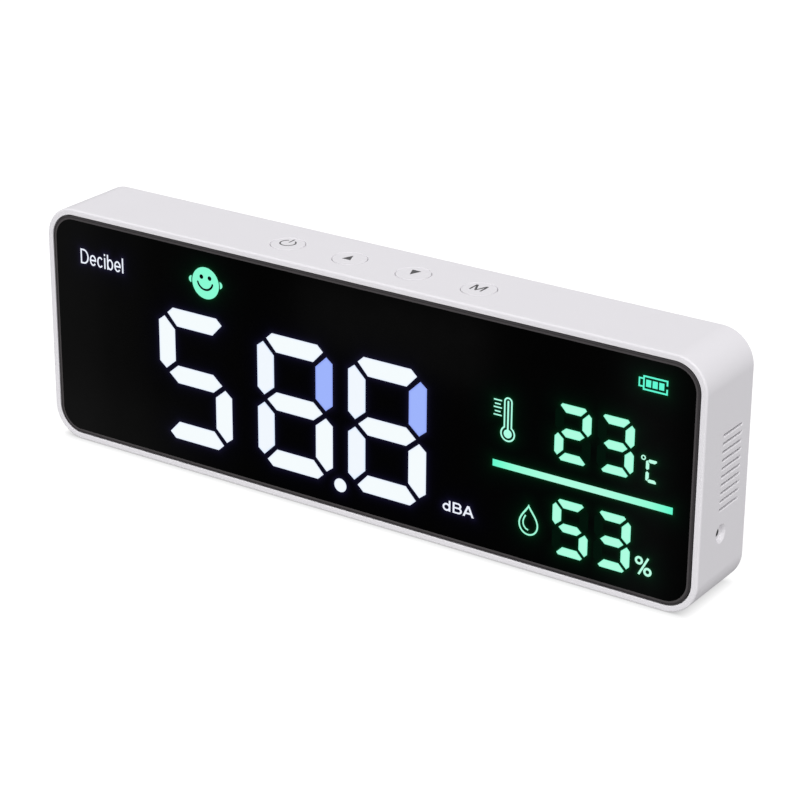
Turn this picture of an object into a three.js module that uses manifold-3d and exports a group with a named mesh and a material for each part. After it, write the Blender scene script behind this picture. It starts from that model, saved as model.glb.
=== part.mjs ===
// Desk and wall sound level meter with a temperature and humidity display.
// Units are millimetres. X runs across the front, +Y runs from the front to the back, +Z is up.
// The origin is the middle of the flat underside.

import * as THREE from 'three';
import { mergeVertices } from 'three/addons/utils/BufferGeometryUtils.js';
import Module from 'manifold-3d';

const wasm = await Module();
wasm.setup();

// ---------------------------------------------------------------- driving dimensions

// case
const WIDTH = 270;
const HEIGHT = 90;
const DEPTH = 32;
const CORNER_RADIUS = 12;
const EDGE_ROUND = 0.7;
const WALL = 2.27;
const COVER_THICKNESS = 2;
const FRONT = -DEPTH / 2;
const BACK = DEPTH / 2;
const MIDDLE = HEIGHT / 2;

// clearances
const EDGE_GAP = 0.3;
const FACE_GAP = 0.1;
const CUT_THROUGH = 1;

// stack behind the front face, in order
const LENS_THICKNESS = 1.8;
const GASKET_THICKNESS = 0.5;
const SHELF_THICKNESS = 1.5;
const FILM_THICKNESS = 0.3;
const REFLECTOR_BACK = -7;
const BOARD_THICKNESS = 1.6;
const LENS_BACK = FRONT + LENS_THICKNESS;
const GASKET_BACK = LENS_BACK + FACE_GAP + GASKET_THICKNESS;
const SHELF_FRONT = GASKET_BACK + FACE_GAP;
const SHELF_BACK = SHELF_FRONT + SHELF_THICKNESS;
const FILM_BACK = LENS_BACK + FACE_GAP + FILM_THICKNESS;
const DISPLAY_BOARD_FRONT = REFLECTOR_BACK + FACE_GAP;
const DISPLAY_BOARD_BACK = DISPLAY_BOARD_FRONT + BOARD_THICKNESS;
const COVER_FRONT = BACK - COVER_THICKNESS;

// insets from the outer outline of the case
const LENS_INSET = WALL + EDGE_GAP;
const WINDOW_INSET = 5.8;
const GASKET_INSET = 5.5;
const FILM_INSET = 6;

// display block
const REFLECTOR_WIDTH = 251.2;
const REFLECTOR_HEIGHT = 72.6;
const DISPLAY_BOARD_WIDTH = 264;

// big read-out: left edge and bottom of each digit, from the left and bottom edges of the case
const BIG_DIGIT = { width: 32.2, height: 50.4, stroke: 6.8, gap: 1 };
const BIG_DIGIT_LEFT = [50.4, 94, 132.7];
const BIG_DIGIT_BOTTOM = 11.5;
const POINT_RADIUS = 2.55;
const POINT_AT = [129.3, 11.6];

// small read-outs
const SMALL_DIGIT = { width: 13.6, height: 20.2, stroke: 3.1, gap: 0.6 };
const SMALL_DIGIT_LEFT = [215.1, 231.1];
const SMALL_DIGIT_BOTTOM = [9.4, 43.7];

// light chambers behind the bar, the icons and the lettering: left, bottom, width, height
const CHAMBERS = [
  [191.5, 35, 68.1, 2.4],
  [13.8, 69, 23, 8],
  [64, 66.5, 16, 15],
  [171, 12, 15, 7.5],
  [190, 44, 11, 18],
  [201, 12, 10, 14],
  [244.5, 74, 12, 6],
  [247, 43.5, 7, 11],
  [246, 10, 8, 9],
];
const CHAMBER_GROW = 0.2;
const LED_SIZE = [2.8, 2];
const LED_HEIGHT = 0.8;
const BAR_LED_PITCH = 14;

// push buttons along the top wall
const BUTTON_NAMES = ['power', 'up', 'down', 'mode'];
const BUTTON_PITCH = 26.2;
const BUTTON_CENTRE_X = 2;
const BUTTON_Y = -1.6;
const BUTTON_RADIUS = 6.4;
const BUTTON_FLANGE_RADIUS = 7.4;
const BUTTON_FLANGE_THICKNESS = 1.1;
const BUTTON_STEM_RADIUS = 2.4;
const BUTTON_TRAVEL = 0.6;

// switches and their board
const SWITCH_SIZE = 6;
const SWITCH_HEIGHT = 3.4;
const PLUNGER_RADIUS = 1.7;
const KEY_BOARD_BOTTOM = 75.9;
const KEY_BOARD_TOP = KEY_BOARD_BOTTOM + BOARD_THICKNESS;
const KEY_BOARD_X = [-57, 61];
const KEY_BOARD_Y = [-4.7, 6.3];
const KEY_SCREW_X = [-52.5, 56.5];
const KEY_SCREW_Y = 2.5;

// right wall: vent slots, microphone inlet
const VENT_COUNT = 10;
const VENT_PITCH = 2.92;
const VENT_LOWEST = 33.3;
const VENT_WIDTH = 0.7;
const VENT_Y = [-3.2, 9.8];
const MIC_Y = -1.4;
const MIC_Z = 25;
const MIC_DISH_RADIUS = 3.3;
const MIC_DISH_DEPTH = 1.5;
const MIC_HOLE_RADIUS = 0.65;
const INNER_WALL_X = WIDTH / 2 - WALL;

// microphone capsule in its rubber boot: the boot's mouth faces the inlet
const CAPSULE_RADIUS = 3;
const CAPSULE_LENGTH = 3.7;
const BOOT_RADIUS = 3.7;
const BOOT_LENGTH = 5.4;
const BOOT_POCKET_RADIUS = 3.2;
const BOOT_POCKET_DEPTH = 4.2;
const BOOT_MOUTH_RADIUS = 1.2;
const MIC_LEAD_ROUTE = [[127, -1.4, 25], [123.5, -1.4, 25], [120, -0.8, 24.5], [118, 2, 24]];

// temperature and humidity sensor on its own board behind the vents
const CLIMATE_BOARD_X = [129, 130];
const CLIMATE_Y = 4;
const CLIMATE_HALF_WIDTH = 4;
const CLIMATE_Z = [29.5, 63.5];
const CLIMATE_POST_Z = [31.2, 61.8];
const CLIMATE_POST_RADIUS = 1.4;
const CLIMATE_SENSOR_SIZE = 3;
const CLIMATE_SENSOR_THICKNESS = 1;
const CLIMATE_SENSOR_Z = 46;
const CLIMATE_LEAD_Y = [3.6, 4];
const CLIMATE_LEAD_Z = [32, 38];

// case screws and bosses
const CASE_SCREW_AT = [[-100, 5.2], [2, 5.2], [100, 5.2], [-100, 84.8], [2, 84.8], [100, 84.8]];
const CASE_BOSS_RADIUS = 3.1;
const CASE_PILOT_RADIUS = 1.3;
const CASE_PILOT_DEPTH = 12;
const CASE_SCREW = { shank: 1, length: 10, head: 2, rise: 0.85 };
const SINK_RADIUS = 2.4;
const SINK_DEPTH = 1.1;

// small screws and their posts
const POST_RADIUS = 2.6;
const POST_PILOT_RADIUS = 1.1;
const BOARD_HOLE_RADIUS = 1.4;
const DISPLAY_SCREW_AT = [[-129.4, 14], [129.4, 14], [-129.4, 76], [129.4, 76]];
const DISPLAY_POST_RADIUS = 3.1;
const DISPLAY_SCREW = { shank: 0.8, length: 5.5, head: 1.8, rise: 1.2 };
const SMALL_SCREW = { shank: 0.8, length: 6, head: 1.8, rise: 1.2 };
const SCREW_SIDES = 10;

// main board, seen from the front
const MAIN_BOARD = { left: 44, right: 122, bottom: 10, top: 50, front: 3 };
const MAIN_BOARD_BACK = MAIN_BOARD.front + BOARD_THICKNESS;
const MAIN_SCREW_AT = [[48.5, 14], [117.5, 14], [48.5, 46], [117.5, 46]];

// charging socket, set end-on to the back
const USB_AT = [82, 20];
const USB_SIZE = [9, 3.2];
const USB_WALL = 0.3;
const USB_END = 15.4;
const USB_MOUTH_DEPTH = 7;
const USB_TONGUE = [6.7, 0.7, 5.6];
const PORT_SIZE = [9.8, 4];

// buzzer and its grille
const BUZZER_AT = [106, 33];
const BUZZER_RADIUS = 6;
const BUZZER_HEIGHT = 7;
const GRILLE_HOLE_RADIUS = 0.8;
const GRILLE_RING_RADIUS = 3.4;
const GRILLE_RING_COUNT = 6;

// small parts on the boards: width, thickness and height, and centre (x, z) seen from the front
const LED_DRIVER_SIZE = [8, 1.5, 6];
const LED_DRIVER_AT = { left: [-60, 30], right: [20, 66] };
const CONTROLLER_SIZE = [10, 1.2, 10];
const CONTROLLER_AT = [98, 32];
const CHARGER_SIZE = [5, 1.1, 4];
const CHARGER_AT = [66, 20];
const HEADER_SIZE = [22, 5];
const HEADER_AT = [78, 42];
const BATTERY_PLUG_SIZE = [6, 4.7, 7];
const BATTERY_PLUG_AT = [49, 30.5];

// flat ribbon between the key board and the main board: its route as (y, z), and its edges across X
const RIBBON_ROUTE = [[5.4, 75.6], [5.4, 70], [1.6, 57], [1.6, 51], [2.4, 49.5], [2.4, 46]];
const RIBBON_EDGES = [52, 58];
const RIBBON_THICKNESS = 0.3;

// keyholes for hanging on a wall
const KEYHOLE_X = [-80, 80];
const KEYHOLE_Z = 60;
const KEYHOLE_RADIUS = 4.5;
const KEYHOLE_SLOT_RADIUS = 2.2;
const KEYHOLE_SLOT_RISE = 8;

// battery, seen from the front
const BATTERY = { left: -25, right: 33, bottom: 24, top: 58, front: 5, back: 13 };
const BATTERY_CORNER_RADIUS = 2;
const BATTERY_PAD_MARGIN = 4;
const LEAD_RADIUS = 0.65;
const RED_LEAD_ROUTE = [[33.3, 9, 40], [37, 9, 40], [41, 8, 34], [45.7, 7, 32.5]];
const BLACK_LEAD_ROUTE = [[33.3, 9, 35], [37, 9, 34], [41, 8, 30], [45.7, 7, 29]];

// roundness: steps in a quarter turn of a case corner, sides of a round hole or pin
const CORNER_STEPS = 6;
const BIG_ROUND_SIDES = 24;
const ROUND_SIDES = 16;
const LEAD_SIDES = 8;
const LEAD_STEPS = 14;

// ---------------------------------------------------------------- finishes

const WHITE_PLASTIC = { color: 0xdedde0, roughness: 0.55, metalness: 0 };
const SMOKED_PLASTIC = { color: 0x0a0a0b, roughness: 0.08, metalness: 0 };
const BLACK_FOAM = { color: 0x1a1a1c, roughness: 0.95, metalness: 0 };
const GREY_FILM = { color: 0xb9bcc0, roughness: 0.4, metalness: 0 };
const REFLECTOR_WHITE = { color: 0xf0f0ee, roughness: 0.6, metalness: 0 };
const BOARD_GREEN = { color: 0x14502c, roughness: 0.4, metalness: 0.1 };
const CHIP_BLACK = { color: 0x17171a, roughness: 0.5, metalness: 0 };
const STEEL = { color: 0xa8abb0, roughness: 0.3, metalness: 0.9 };
const CONNECTOR_WHITE = { color: 0xe8e4d8, roughness: 0.5, metalness: 0 };
const BATTERY_WRAP = { color: 0xb4b8be, roughness: 0.35, metalness: 0.4 };
const RED_WIRE = { color: 0xb01818, roughness: 0.5, metalness: 0 };
const BLACK_WIRE = { color: 0x161616, roughness: 0.5, metalness: 0 };
const ORANGE_FLEX = { color: 0xb4661c, roughness: 0.4, metalness: 0 };
const ALUMINIUM = { color: 0xc6c8cc, roughness: 0.35, metalness: 0.9 };
const BLACK_RUBBER = { color: 0x202022, roughness: 0.9, metalness: 0 };

// ---------------------------------------------------------------- outlines and solids

const X_AXIS = new THREE.Vector3(1, 0, 0);
const Y_AXIS = new THREE.Vector3(0, 1, 0);
const Z_AXIS = new THREE.Vector3(0, 0, 1);

// An outline drawn as (x, z) is swept along Y, one drawn as (y, z) along X.
const SWEEP_ALONG_Y = new THREE.Matrix4().makeBasis(X_AXIS, Z_AXIS, Y_AXIS.clone().negate());
const SWEEP_ALONG_X = new THREE.Matrix4().makeBasis(Y_AXIS, Z_AXIS, X_AXIS);

function roundedRectangle(width, height, radius, centre = [0, 0]) {
  const points = [];
  for (let quadrant = 0; quadrant < 4; quadrant += 1) {
    const signX = quadrant === 0 || quadrant === 3 ? 1 : -1;
    const signY = quadrant < 2 ? 1 : -1;
    for (let step = 0; step <= CORNER_STEPS; step += 1) {
      const angle = (quadrant + step / CORNER_STEPS) * Math.PI / 2;
      const x = centre[0] + signX * (width / 2 - radius) + radius * Math.cos(angle);
      const y = centre[1] + signY * (height / 2 - radius) + radius * Math.sin(angle);
      points.push(new THREE.Vector2(x, y));
    }
  }
  return new THREE.Shape(points);
}

function rectangle(left, bottom, width, height) {
  return new THREE.Shape([
    new THREE.Vector2(left, bottom),
    new THREE.Vector2(left + width, bottom),
    new THREE.Vector2(left + width, bottom + height),
    new THREE.Vector2(left, bottom + height),
  ]);
}

function circle(radius, centre = [0, 0], sides = ROUND_SIDES) {
  const points = [];
  for (let side = 0; side < sides; side += 1) {
    const angle = side / sides * 2 * Math.PI;
    const x = centre[0] + radius * Math.cos(angle);
    const y = centre[1] + radius * Math.sin(angle);
    points.push(new THREE.Vector2(x, y));
  }
  return new THREE.Shape(points);
}

// case outline drawn inwards by an inset
function caseOutline(inset) {
  const width = WIDTH - 2 * inset;
  const height = HEIGHT - 2 * inset;
  return roundedRectangle(width, height, CORNER_RADIUS - inset, [0, MIDDLE]);
}

function toSolid(geometry) {
  const bare = geometry.clone();
  bare.deleteAttribute('normal');
  bare.deleteAttribute('uv');
  const merged = mergeVertices(bare);
  return new wasm.Manifold(new wasm.Mesh({
    numProp: 3,
    vertProperties: Float32Array.from(merged.attributes.position.array),
    triVerts: Uint32Array.from(merged.index.array),
  }));
}

function sweepY(outline, from, to) {
  const geometry = new THREE.ExtrudeGeometry(outline, { depth: to - from, bevelEnabled: false });
  geometry.applyMatrix4(SWEEP_ALONG_Y);
  geometry.translate(0, to, 0);
  return toSolid(geometry);
}

function sweepX(outline, from, to) {
  const geometry = new THREE.ExtrudeGeometry(outline, { depth: to - from, bevelEnabled: false });
  geometry.applyMatrix4(SWEEP_ALONG_X);
  geometry.translate(from, 0, 0);
  return toSolid(geometry);
}

function sweepZ(outline, from, to) {
  const geometry = new THREE.ExtrudeGeometry(outline, { depth: to - from, bevelEnabled: false });
  geometry.translate(0, 0, from);
  return toSolid(geometry);
}

function box(low, high) {
  const size = high.map((value, index) => value - low[index]);
  const geometry = new THREE.BoxGeometry(...size);
  geometry.translate(...low.map((value, index) => value + size[index] / 2));
  return toSolid(geometry);
}

// a block centred across X and Z, with its front face at y = 0
function block([width, thickness, height]) {
  return box([-width / 2, 0, -height / 2], [width / 2, thickness, height / 2]);
}

// a profile of [radius, height] pairs turned about Z, from the bottom of the axis to its top
function turned(profile, sides = ROUND_SIDES) {
  const points = profile.map(([radius, height]) => new THREE.Vector2(radius, height));
  const geometry = new THREE.LatheGeometry(points, sides);
  geometry.rotateX(Math.PI / 2);
  return toSolid(geometry);
}

function join(solids) {
  return solids.reduce((whole, next) => whole.add(next));
}

function cut(base, tools) {
  return tools.reduce((rest, tool) => rest.subtract(tool), base);
}

function toGeometry(solid) {
  const mesh = solid.getMesh();
  const geometry = new THREE.BufferGeometry();
  geometry.setAttribute('position', new THREE.BufferAttribute(Float32Array.from(mesh.vertProperties), 3));
  geometry.setIndex(new THREE.BufferAttribute(Uint32Array.from(mesh.triVerts), 1));
  geometry.computeVertexNormals();
  return geometry;
}

const meter = new THREE.Group();

function addPart(name, solid, finish, position = [0, 0, 0]) {
  const mesh = new THREE.Mesh(toGeometry(solid), new THREE.MeshStandardMaterial(finish));
  mesh.name = name;
  mesh.position.set(...position);
  meter.add(mesh);
  return mesh;
}

// ---------------------------------------------------------------- display layout

// Outlines of the seven bars of a digit whose lower left corner is at (left, bottom).
// The bars are mitred at 45 degrees and held apart by twice the gap.
function digitBars({ width, height, stroke, gap }, left, bottom) {
  const half = stroke / 2;
  const miter = gap * Math.SQRT2;
  const right = width - half;
  const levels = [half, height / 2, height - half];
  const flat = level => [
    [half + miter, level],
    [stroke + miter, level - half],
    [right - half - miter, level - half],
    [right - miter, level],
    [right - half - miter, level + half],
    [stroke + miter, level + half],
  ];
  const upright = (x, low, high) => [
    [x, low + miter],
    [x + half, low + half + miter],
    [x + half, high - half - miter],
    [x, high - miter],
    [x - half, high - half - miter],
    [x - half, low + half + miter],
  ];
  const bars = levels.map(flat);
  for (const x of [half, right]) {
    bars.push(upright(x, levels[0], levels[1]));
    bars.push(upright(x, levels[1], levels[2]));
  }
  return bars.map(bar => bar.map(([x, y]) => [left + x, bottom + y]));
}

function allDigitBars() {
  const bars = [];
  for (const left of BIG_DIGIT_LEFT) {
    bars.push(...digitBars(BIG_DIGIT, left - WIDTH / 2, BIG_DIGIT_BOTTOM));
  }
  for (const left of SMALL_DIGIT_LEFT) {
    for (const bottom of SMALL_DIGIT_BOTTOM) {
      bars.push(...digitBars(SMALL_DIGIT, left - WIDTH / 2, bottom));
    }
  }
  return bars;
}

function middleOf(outline) {
  const sum = outline.reduce(([sumX, sumY], [x, y]) => [sumX + x, sumY + y], [0, 0]);
  return sum.map(value => value / outline.length);
}

function chamberOutline([left, bottom, width, height]) {
  return rectangle(
    left - WIDTH / 2 - CHAMBER_GROW,
    bottom - CHAMBER_GROW,
    width + 2 * CHAMBER_GROW,
    height + 2 * CHAMBER_GROW,
  );
}

// one lamp behind each bar and chamber, and a row of them behind the long bar
function lampPositions() {
  const places = allDigitBars().map(middleOf);
  places.push([POINT_AT[0] - WIDTH / 2, POINT_AT[1]]);
  const [longBar, ...others] = CHAMBERS;
  for (let along = BAR_LED_PITCH / 2; along < longBar[2]; along += BAR_LED_PITCH) {
    places.push([longBar[0] - WIDTH / 2 + along, longBar[1] + longBar[3] / 2]);
  }
  for (const [left, bottom, width, height] of others) {
    places.push([left - WIDTH / 2 + width / 2, bottom + height / 2]);
  }
  return places;
}

// ---------------------------------------------------------------- case

function outerBody() {
  const geometry = new THREE.ExtrudeGeometry(caseOutline(0), {
    depth: DEPTH - 2 * EDGE_ROUND,
    bevelEnabled: true,
    bevelThickness: EDGE_ROUND,
    bevelSize: EDGE_ROUND,
    bevelOffset: -EDGE_ROUND,
    bevelSegments: 2,
  });
  geometry.applyMatrix4(SWEEP_ALONG_Y);
  geometry.translate(0, BACK - EDGE_ROUND, 0);
  return toSolid(geometry);
}

function buttonCentreX(index) {
  return BUTTON_CENTRE_X + (index - (BUTTON_NAMES.length - 1) / 2) * BUTTON_PITCH;
}

function ventSlots() {
  const slots = [];
  const length = VENT_Y[1] - VENT_Y[0];
  for (let index = 0; index < VENT_COUNT; index += 1) {
    const bottom = VENT_LOWEST + index * VENT_PITCH - VENT_WIDTH / 2;
    const outline = rectangle(VENT_Y[0], bottom, length, VENT_WIDTH);
    slots.push(sweepX(outline, INNER_WALL_X - CUT_THROUGH, WIDTH / 2 + CUT_THROUGH));
  }
  return slots;
}

function microphoneInlet() {
  const rim = MIC_DISH_RADIUS * (1 + CUT_THROUGH / MIC_DISH_DEPTH);
  const dish = turned([
    [0, -MIC_DISH_DEPTH],
    [MIC_HOLE_RADIUS, -MIC_DISH_DEPTH],
    [rim, CUT_THROUGH],
    [0, CUT_THROUGH],
  ], BIG_ROUND_SIDES);
  const placed = dish.rotate([0, 90, 0]).translate([WIDTH / 2, MIC_Y, MIC_Z]);
  const hole = sweepX(circle(MIC_HOLE_RADIUS, [MIC_Y, MIC_Z]), INNER_WALL_X - CUT_THROUGH, WIDTH / 2);
  return [placed, hole];
}

function climatePosts() {
  return CLIMATE_POST_Z.map(z => (
    sweepX(
      circle(CLIMATE_POST_RADIUS, [CLIMATE_Y, z]),
      CLIMATE_BOARD_X[1] + FACE_GAP,
      INNER_WALL_X + FACE_GAP,
    )
  ));
}

function frontHousing() {
  const shell = cut(outerBody(), [
    sweepY(caseOutline(WALL), SHELF_BACK, BACK + CUT_THROUGH),
    sweepY(caseOutline(WALL), FRONT - CUT_THROUGH, SHELF_FRONT),
    sweepY(caseOutline(WINDOW_INSET), SHELF_FRONT - CUT_THROUGH, SHELF_BACK + CUT_THROUGH),
  ]);
  const bosses = CASE_SCREW_AT.map(centre => (
    sweepY(circle(CASE_BOSS_RADIUS, centre), SHELF_BACK - FACE_GAP, COVER_FRONT - FACE_GAP)
  ));
  const displayPosts = DISPLAY_SCREW_AT.map(centre => (
    sweepY(circle(DISPLAY_POST_RADIUS, centre), SHELF_BACK - FACE_GAP, REFLECTOR_BACK)
  ));
  const keyPosts = KEY_SCREW_X.map(x => (
    sweepZ(circle(POST_RADIUS, [x, KEY_SCREW_Y]), KEY_BOARD_TOP + FACE_GAP, HEIGHT - WALL + FACE_GAP)
  ));
  const pilots = CASE_SCREW_AT.map(centre => (
    sweepY(circle(CASE_PILOT_RADIUS, centre), COVER_FRONT - CASE_PILOT_DEPTH, BACK)
  ));
  const displayPilots = DISPLAY_SCREW_AT.map(centre => (
    sweepY(circle(POST_PILOT_RADIUS, centre), SHELF_BACK, REFLECTOR_BACK + CUT_THROUGH)
  ));
  const keyPilots = KEY_SCREW_X.map(x => (
    sweepZ(circle(POST_PILOT_RADIUS, [x, KEY_SCREW_Y]), KEY_BOARD_TOP, HEIGHT - 2 * WALL)
  ));
  const buttonHoles = BUTTON_NAMES.map((name, index) => (
    sweepZ(
      circle(BUTTON_RADIUS + EDGE_GAP, [buttonCentreX(index), BUTTON_Y], BIG_ROUND_SIDES),
      HEIGHT - 2 * WALL,
      HEIGHT + CUT_THROUGH,
    )
  ));
  return cut(join([shell, ...bosses, ...displayPosts, ...keyPosts, ...climatePosts()]), [
    ...pilots,
    ...displayPilots,
    ...keyPilots,
    ...buttonHoles,
    ...ventSlots(),
    ...microphoneInlet(),
  ]);
}

function throughCover(outline) {
  return sweepY(outline, COVER_FRONT - CUT_THROUGH, BACK + CUT_THROUGH);
}

function keyholeCuts() {
  return KEYHOLE_X.flatMap(x => [
    throughCover(circle(KEYHOLE_RADIUS, [x, KEYHOLE_Z], BIG_ROUND_SIDES)),
    throughCover(rectangle(x - KEYHOLE_SLOT_RADIUS, KEYHOLE_Z, 2 * KEYHOLE_SLOT_RADIUS, KEYHOLE_SLOT_RISE)),
    throughCover(circle(KEYHOLE_SLOT_RADIUS, [x, KEYHOLE_Z + KEYHOLE_SLOT_RISE])),
  ]);
}

function grilleCentres() {
  const centres = [BUZZER_AT];
  for (let index = 0; index < GRILLE_RING_COUNT; index += 1) {
    const angle = index / GRILLE_RING_COUNT * 2 * Math.PI;
    centres.push([
      BUZZER_AT[0] + GRILLE_RING_RADIUS * Math.cos(angle),
      BUZZER_AT[1] + GRILLE_RING_RADIUS * Math.sin(angle),
    ]);
  }
  return centres;
}

function rearCover() {
  const plate = sweepY(caseOutline(LENS_INSET), COVER_FRONT, BACK);
  const posts = MAIN_SCREW_AT.map(centre => (
    sweepY(circle(POST_RADIUS, centre), MAIN_BOARD_BACK + FACE_GAP, COVER_FRONT + FACE_GAP)
  ));
  const postPilots = MAIN_SCREW_AT.map(centre => (
    sweepY(circle(POST_PILOT_RADIUS, centre), MAIN_BOARD_BACK, COVER_FRONT - CUT_THROUGH)
  ));
  const screwHoles = CASE_SCREW_AT.map(centre => throughCover(circle(BOARD_HOLE_RADIUS, centre)));
  const sinks = CASE_SCREW_AT.map(centre => (
    sweepY(circle(SINK_RADIUS, centre), BACK - SINK_DEPTH, BACK + CUT_THROUGH)
  ));
  const grille = grilleCentres().map(centre => (
    throughCover(circle(GRILLE_HOLE_RADIUS, centre, LEAD_SIDES))
  ));
  const port = throughCover(
    roundedRectangle(PORT_SIZE[0], PORT_SIZE[1], PORT_SIZE[1] / 2 - FACE_GAP, USB_AT),
  );
  return cut(join([plate, ...posts]), [
    ...postPilots,
    ...screwHoles,
    ...sinks,
    ...grille,
    port,
    ...keyholeCuts(),
  ]);
}

// ---------------------------------------------------------------- display stack

function lensGasket() {
  const outer = sweepY(caseOutline(LENS_INSET), LENS_BACK + FACE_GAP, GASKET_BACK);
  const inner = sweepY(caseOutline(GASKET_INSET), LENS_BACK - CUT_THROUGH, GASKET_BACK + CUT_THROUGH);
  return cut(outer, [inner]);
}

function segmentReflector() {
  const front = FILM_BACK + FACE_GAP;
  const block = sweepY(
    rectangle(
      -REFLECTOR_WIDTH / 2,
      MIDDLE - REFLECTOR_HEIGHT / 2,
      REFLECTOR_WIDTH,
      REFLECTOR_HEIGHT,
    ),
    front,
    REFLECTOR_BACK,
  );
  const chamber = outline => sweepY(outline, front - CUT_THROUGH, REFLECTOR_BACK + CUT_THROUGH);
  const digits = allDigitBars().map(bar => (
    chamber(new THREE.Shape(bar.map(([x, y]) => new THREE.Vector2(x, y))))
  ));
  const point = chamber(circle(POINT_RADIUS, [POINT_AT[0] - WIDTH / 2, POINT_AT[1]]));
  return cut(block, [...digits, point, ...CHAMBERS.map(chamberOutline).map(chamber)]);
}

function displayBoard() {
  const plate = sweepY(
    rectangle(
      -DISPLAY_BOARD_WIDTH / 2,
      MIDDLE - REFLECTOR_HEIGHT / 2,
      DISPLAY_BOARD_WIDTH,
      REFLECTOR_HEIGHT,
    ),
    DISPLAY_BOARD_FRONT,
    DISPLAY_BOARD_BACK,
  );
  const lamps = lampPositions().map(([x, z]) => box(
    [x - LED_SIZE[0] / 2, DISPLAY_BOARD_FRONT - LED_HEIGHT, z - LED_SIZE[1] / 2],
    [x + LED_SIZE[0] / 2, DISPLAY_BOARD_FRONT + LED_HEIGHT, z + LED_SIZE[1] / 2],
  ));
  const holes = DISPLAY_SCREW_AT.map(centre => (
    sweepY(
      circle(BOARD_HOLE_RADIUS, centre),
      DISPLAY_BOARD_FRONT - CUT_THROUGH,
      DISPLAY_BOARD_BACK + CUT_THROUGH,
    )
  ));
  return cut(join([plate, ...lamps]), holes);
}

function addDisplay() {
  addPart('display_lens', sweepY(caseOutline(LENS_INSET), FRONT, LENS_BACK), SMOKED_PLASTIC);
  addPart('lens_gasket', lensGasket(), BLACK_FOAM);
  addPart('diffuser_film', sweepY(caseOutline(FILM_INSET), LENS_BACK + FACE_GAP, FILM_BACK), GREY_FILM);
  addPart('segment_reflector', segmentReflector(), REFLECTOR_WHITE);
  addPart('display_board', displayBoard(), BOARD_GREEN);
  for (const [side, [x, z]] of Object.entries(LED_DRIVER_AT)) {
    const place = [x, DISPLAY_BOARD_BACK + FACE_GAP, z];
    addPart(`led_driver_${side}`, block(LED_DRIVER_SIZE), CHIP_BLACK, place);
  }
}

// ---------------------------------------------------------------- screws

// pan head screw along Z: the head's underside is at 0 and the shank points down
function panScrew({ shank, length, head, rise }) {
  return turned([
    [0, -length],
    [shank, shank - length],
    [shank, 0],
    [head, 0],
    [head, rise / 2],
    [head - rise / 2, rise],
    [0, rise],
  ], SCREW_SIDES);
}

function addScrews() {
  const caseScrew = panScrew(CASE_SCREW).rotate([-90, 0, 0]);
  CASE_SCREW_AT.forEach(([x, z], index) => {
    addPart(`case_screw_${index + 1}`, caseScrew, STEEL, [x, BACK - SINK_DEPTH + FACE_GAP, z]);
  });
  const towardsBack = panScrew(SMALL_SCREW).rotate([90, 0, 0]);
  MAIN_SCREW_AT.forEach(([x, z], index) => {
    addPart(`main_board_screw_${index + 1}`, towardsBack, STEEL, [x, MAIN_BOARD.front - FACE_GAP, z]);
  });
  const towardsFront = panScrew(DISPLAY_SCREW).rotate([-90, 0, 0]);
  DISPLAY_SCREW_AT.forEach(([x, z], index) => {
    addPart(`display_screw_${index + 1}`, towardsFront, STEEL, [x, DISPLAY_BOARD_BACK + FACE_GAP, z]);
  });
  const upwards = panScrew(SMALL_SCREW).rotate([180, 0, 0]);
  KEY_SCREW_X.forEach((x, index) => {
    addPart(`key_board_screw_${index + 1}`, upwards, STEEL, [x, KEY_SCREW_Y, KEY_BOARD_BOTTOM - FACE_GAP]);
  });
}

// ---------------------------------------------------------------- buttons and switches

const FLANGE_TOP = HEIGHT - WALL - EDGE_GAP;
const FLANGE_BOTTOM = FLANGE_TOP - BUTTON_FLANGE_THICKNESS;
const SWITCH_TOP = KEY_BOARD_TOP + FACE_GAP + SWITCH_HEIGHT;
const PLUNGER_TOP = SWITCH_TOP + 2 * BUTTON_TRAVEL;
const PLUNGER_BOTTOM = KEY_BOARD_TOP + FACE_GAP + BUTTON_TRAVEL + 2 * EDGE_GAP;

function buttonCap() {
  return turned([
    [0, PLUNGER_TOP + FACE_GAP],
    [BUTTON_STEM_RADIUS, PLUNGER_TOP + FACE_GAP],
    [BUTTON_STEM_RADIUS, FLANGE_BOTTOM],
    [BUTTON_FLANGE_RADIUS, FLANGE_BOTTOM],
    [BUTTON_FLANGE_RADIUS, FLANGE_TOP],
    [BUTTON_RADIUS, FLANGE_TOP],
    [BUTTON_RADIUS, HEIGHT - EDGE_GAP],
    [BUTTON_RADIUS - EDGE_GAP, HEIGHT],
    [0, HEIGHT],
  ], BIG_ROUND_SIDES);
}

function switchBody() {
  const bottom = KEY_BOARD_TOP + FACE_GAP;
  const half = SWITCH_SIZE / 2;
  const block = box([-half, -half, bottom], [half, half, SWITCH_TOP]);
  const bore = sweepZ(circle(PLUNGER_RADIUS + EDGE_GAP), bottom + EDGE_GAP, SWITCH_TOP + CUT_THROUGH);
  return cut(block, [bore]);
}

function keyBoard() {
  const plate = box(
    [KEY_BOARD_X[0], KEY_BOARD_Y[0], KEY_BOARD_BOTTOM],
    [KEY_BOARD_X[1], KEY_BOARD_Y[1], KEY_BOARD_TOP],
  );
  const holes = KEY_SCREW_X.map(x => (
    sweepZ(
      circle(BOARD_HOLE_RADIUS, [x, KEY_SCREW_Y]),
      KEY_BOARD_BOTTOM - CUT_THROUGH,
      KEY_BOARD_TOP + CUT_THROUGH,
    )
  ));
  return cut(plate, holes);
}

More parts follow.
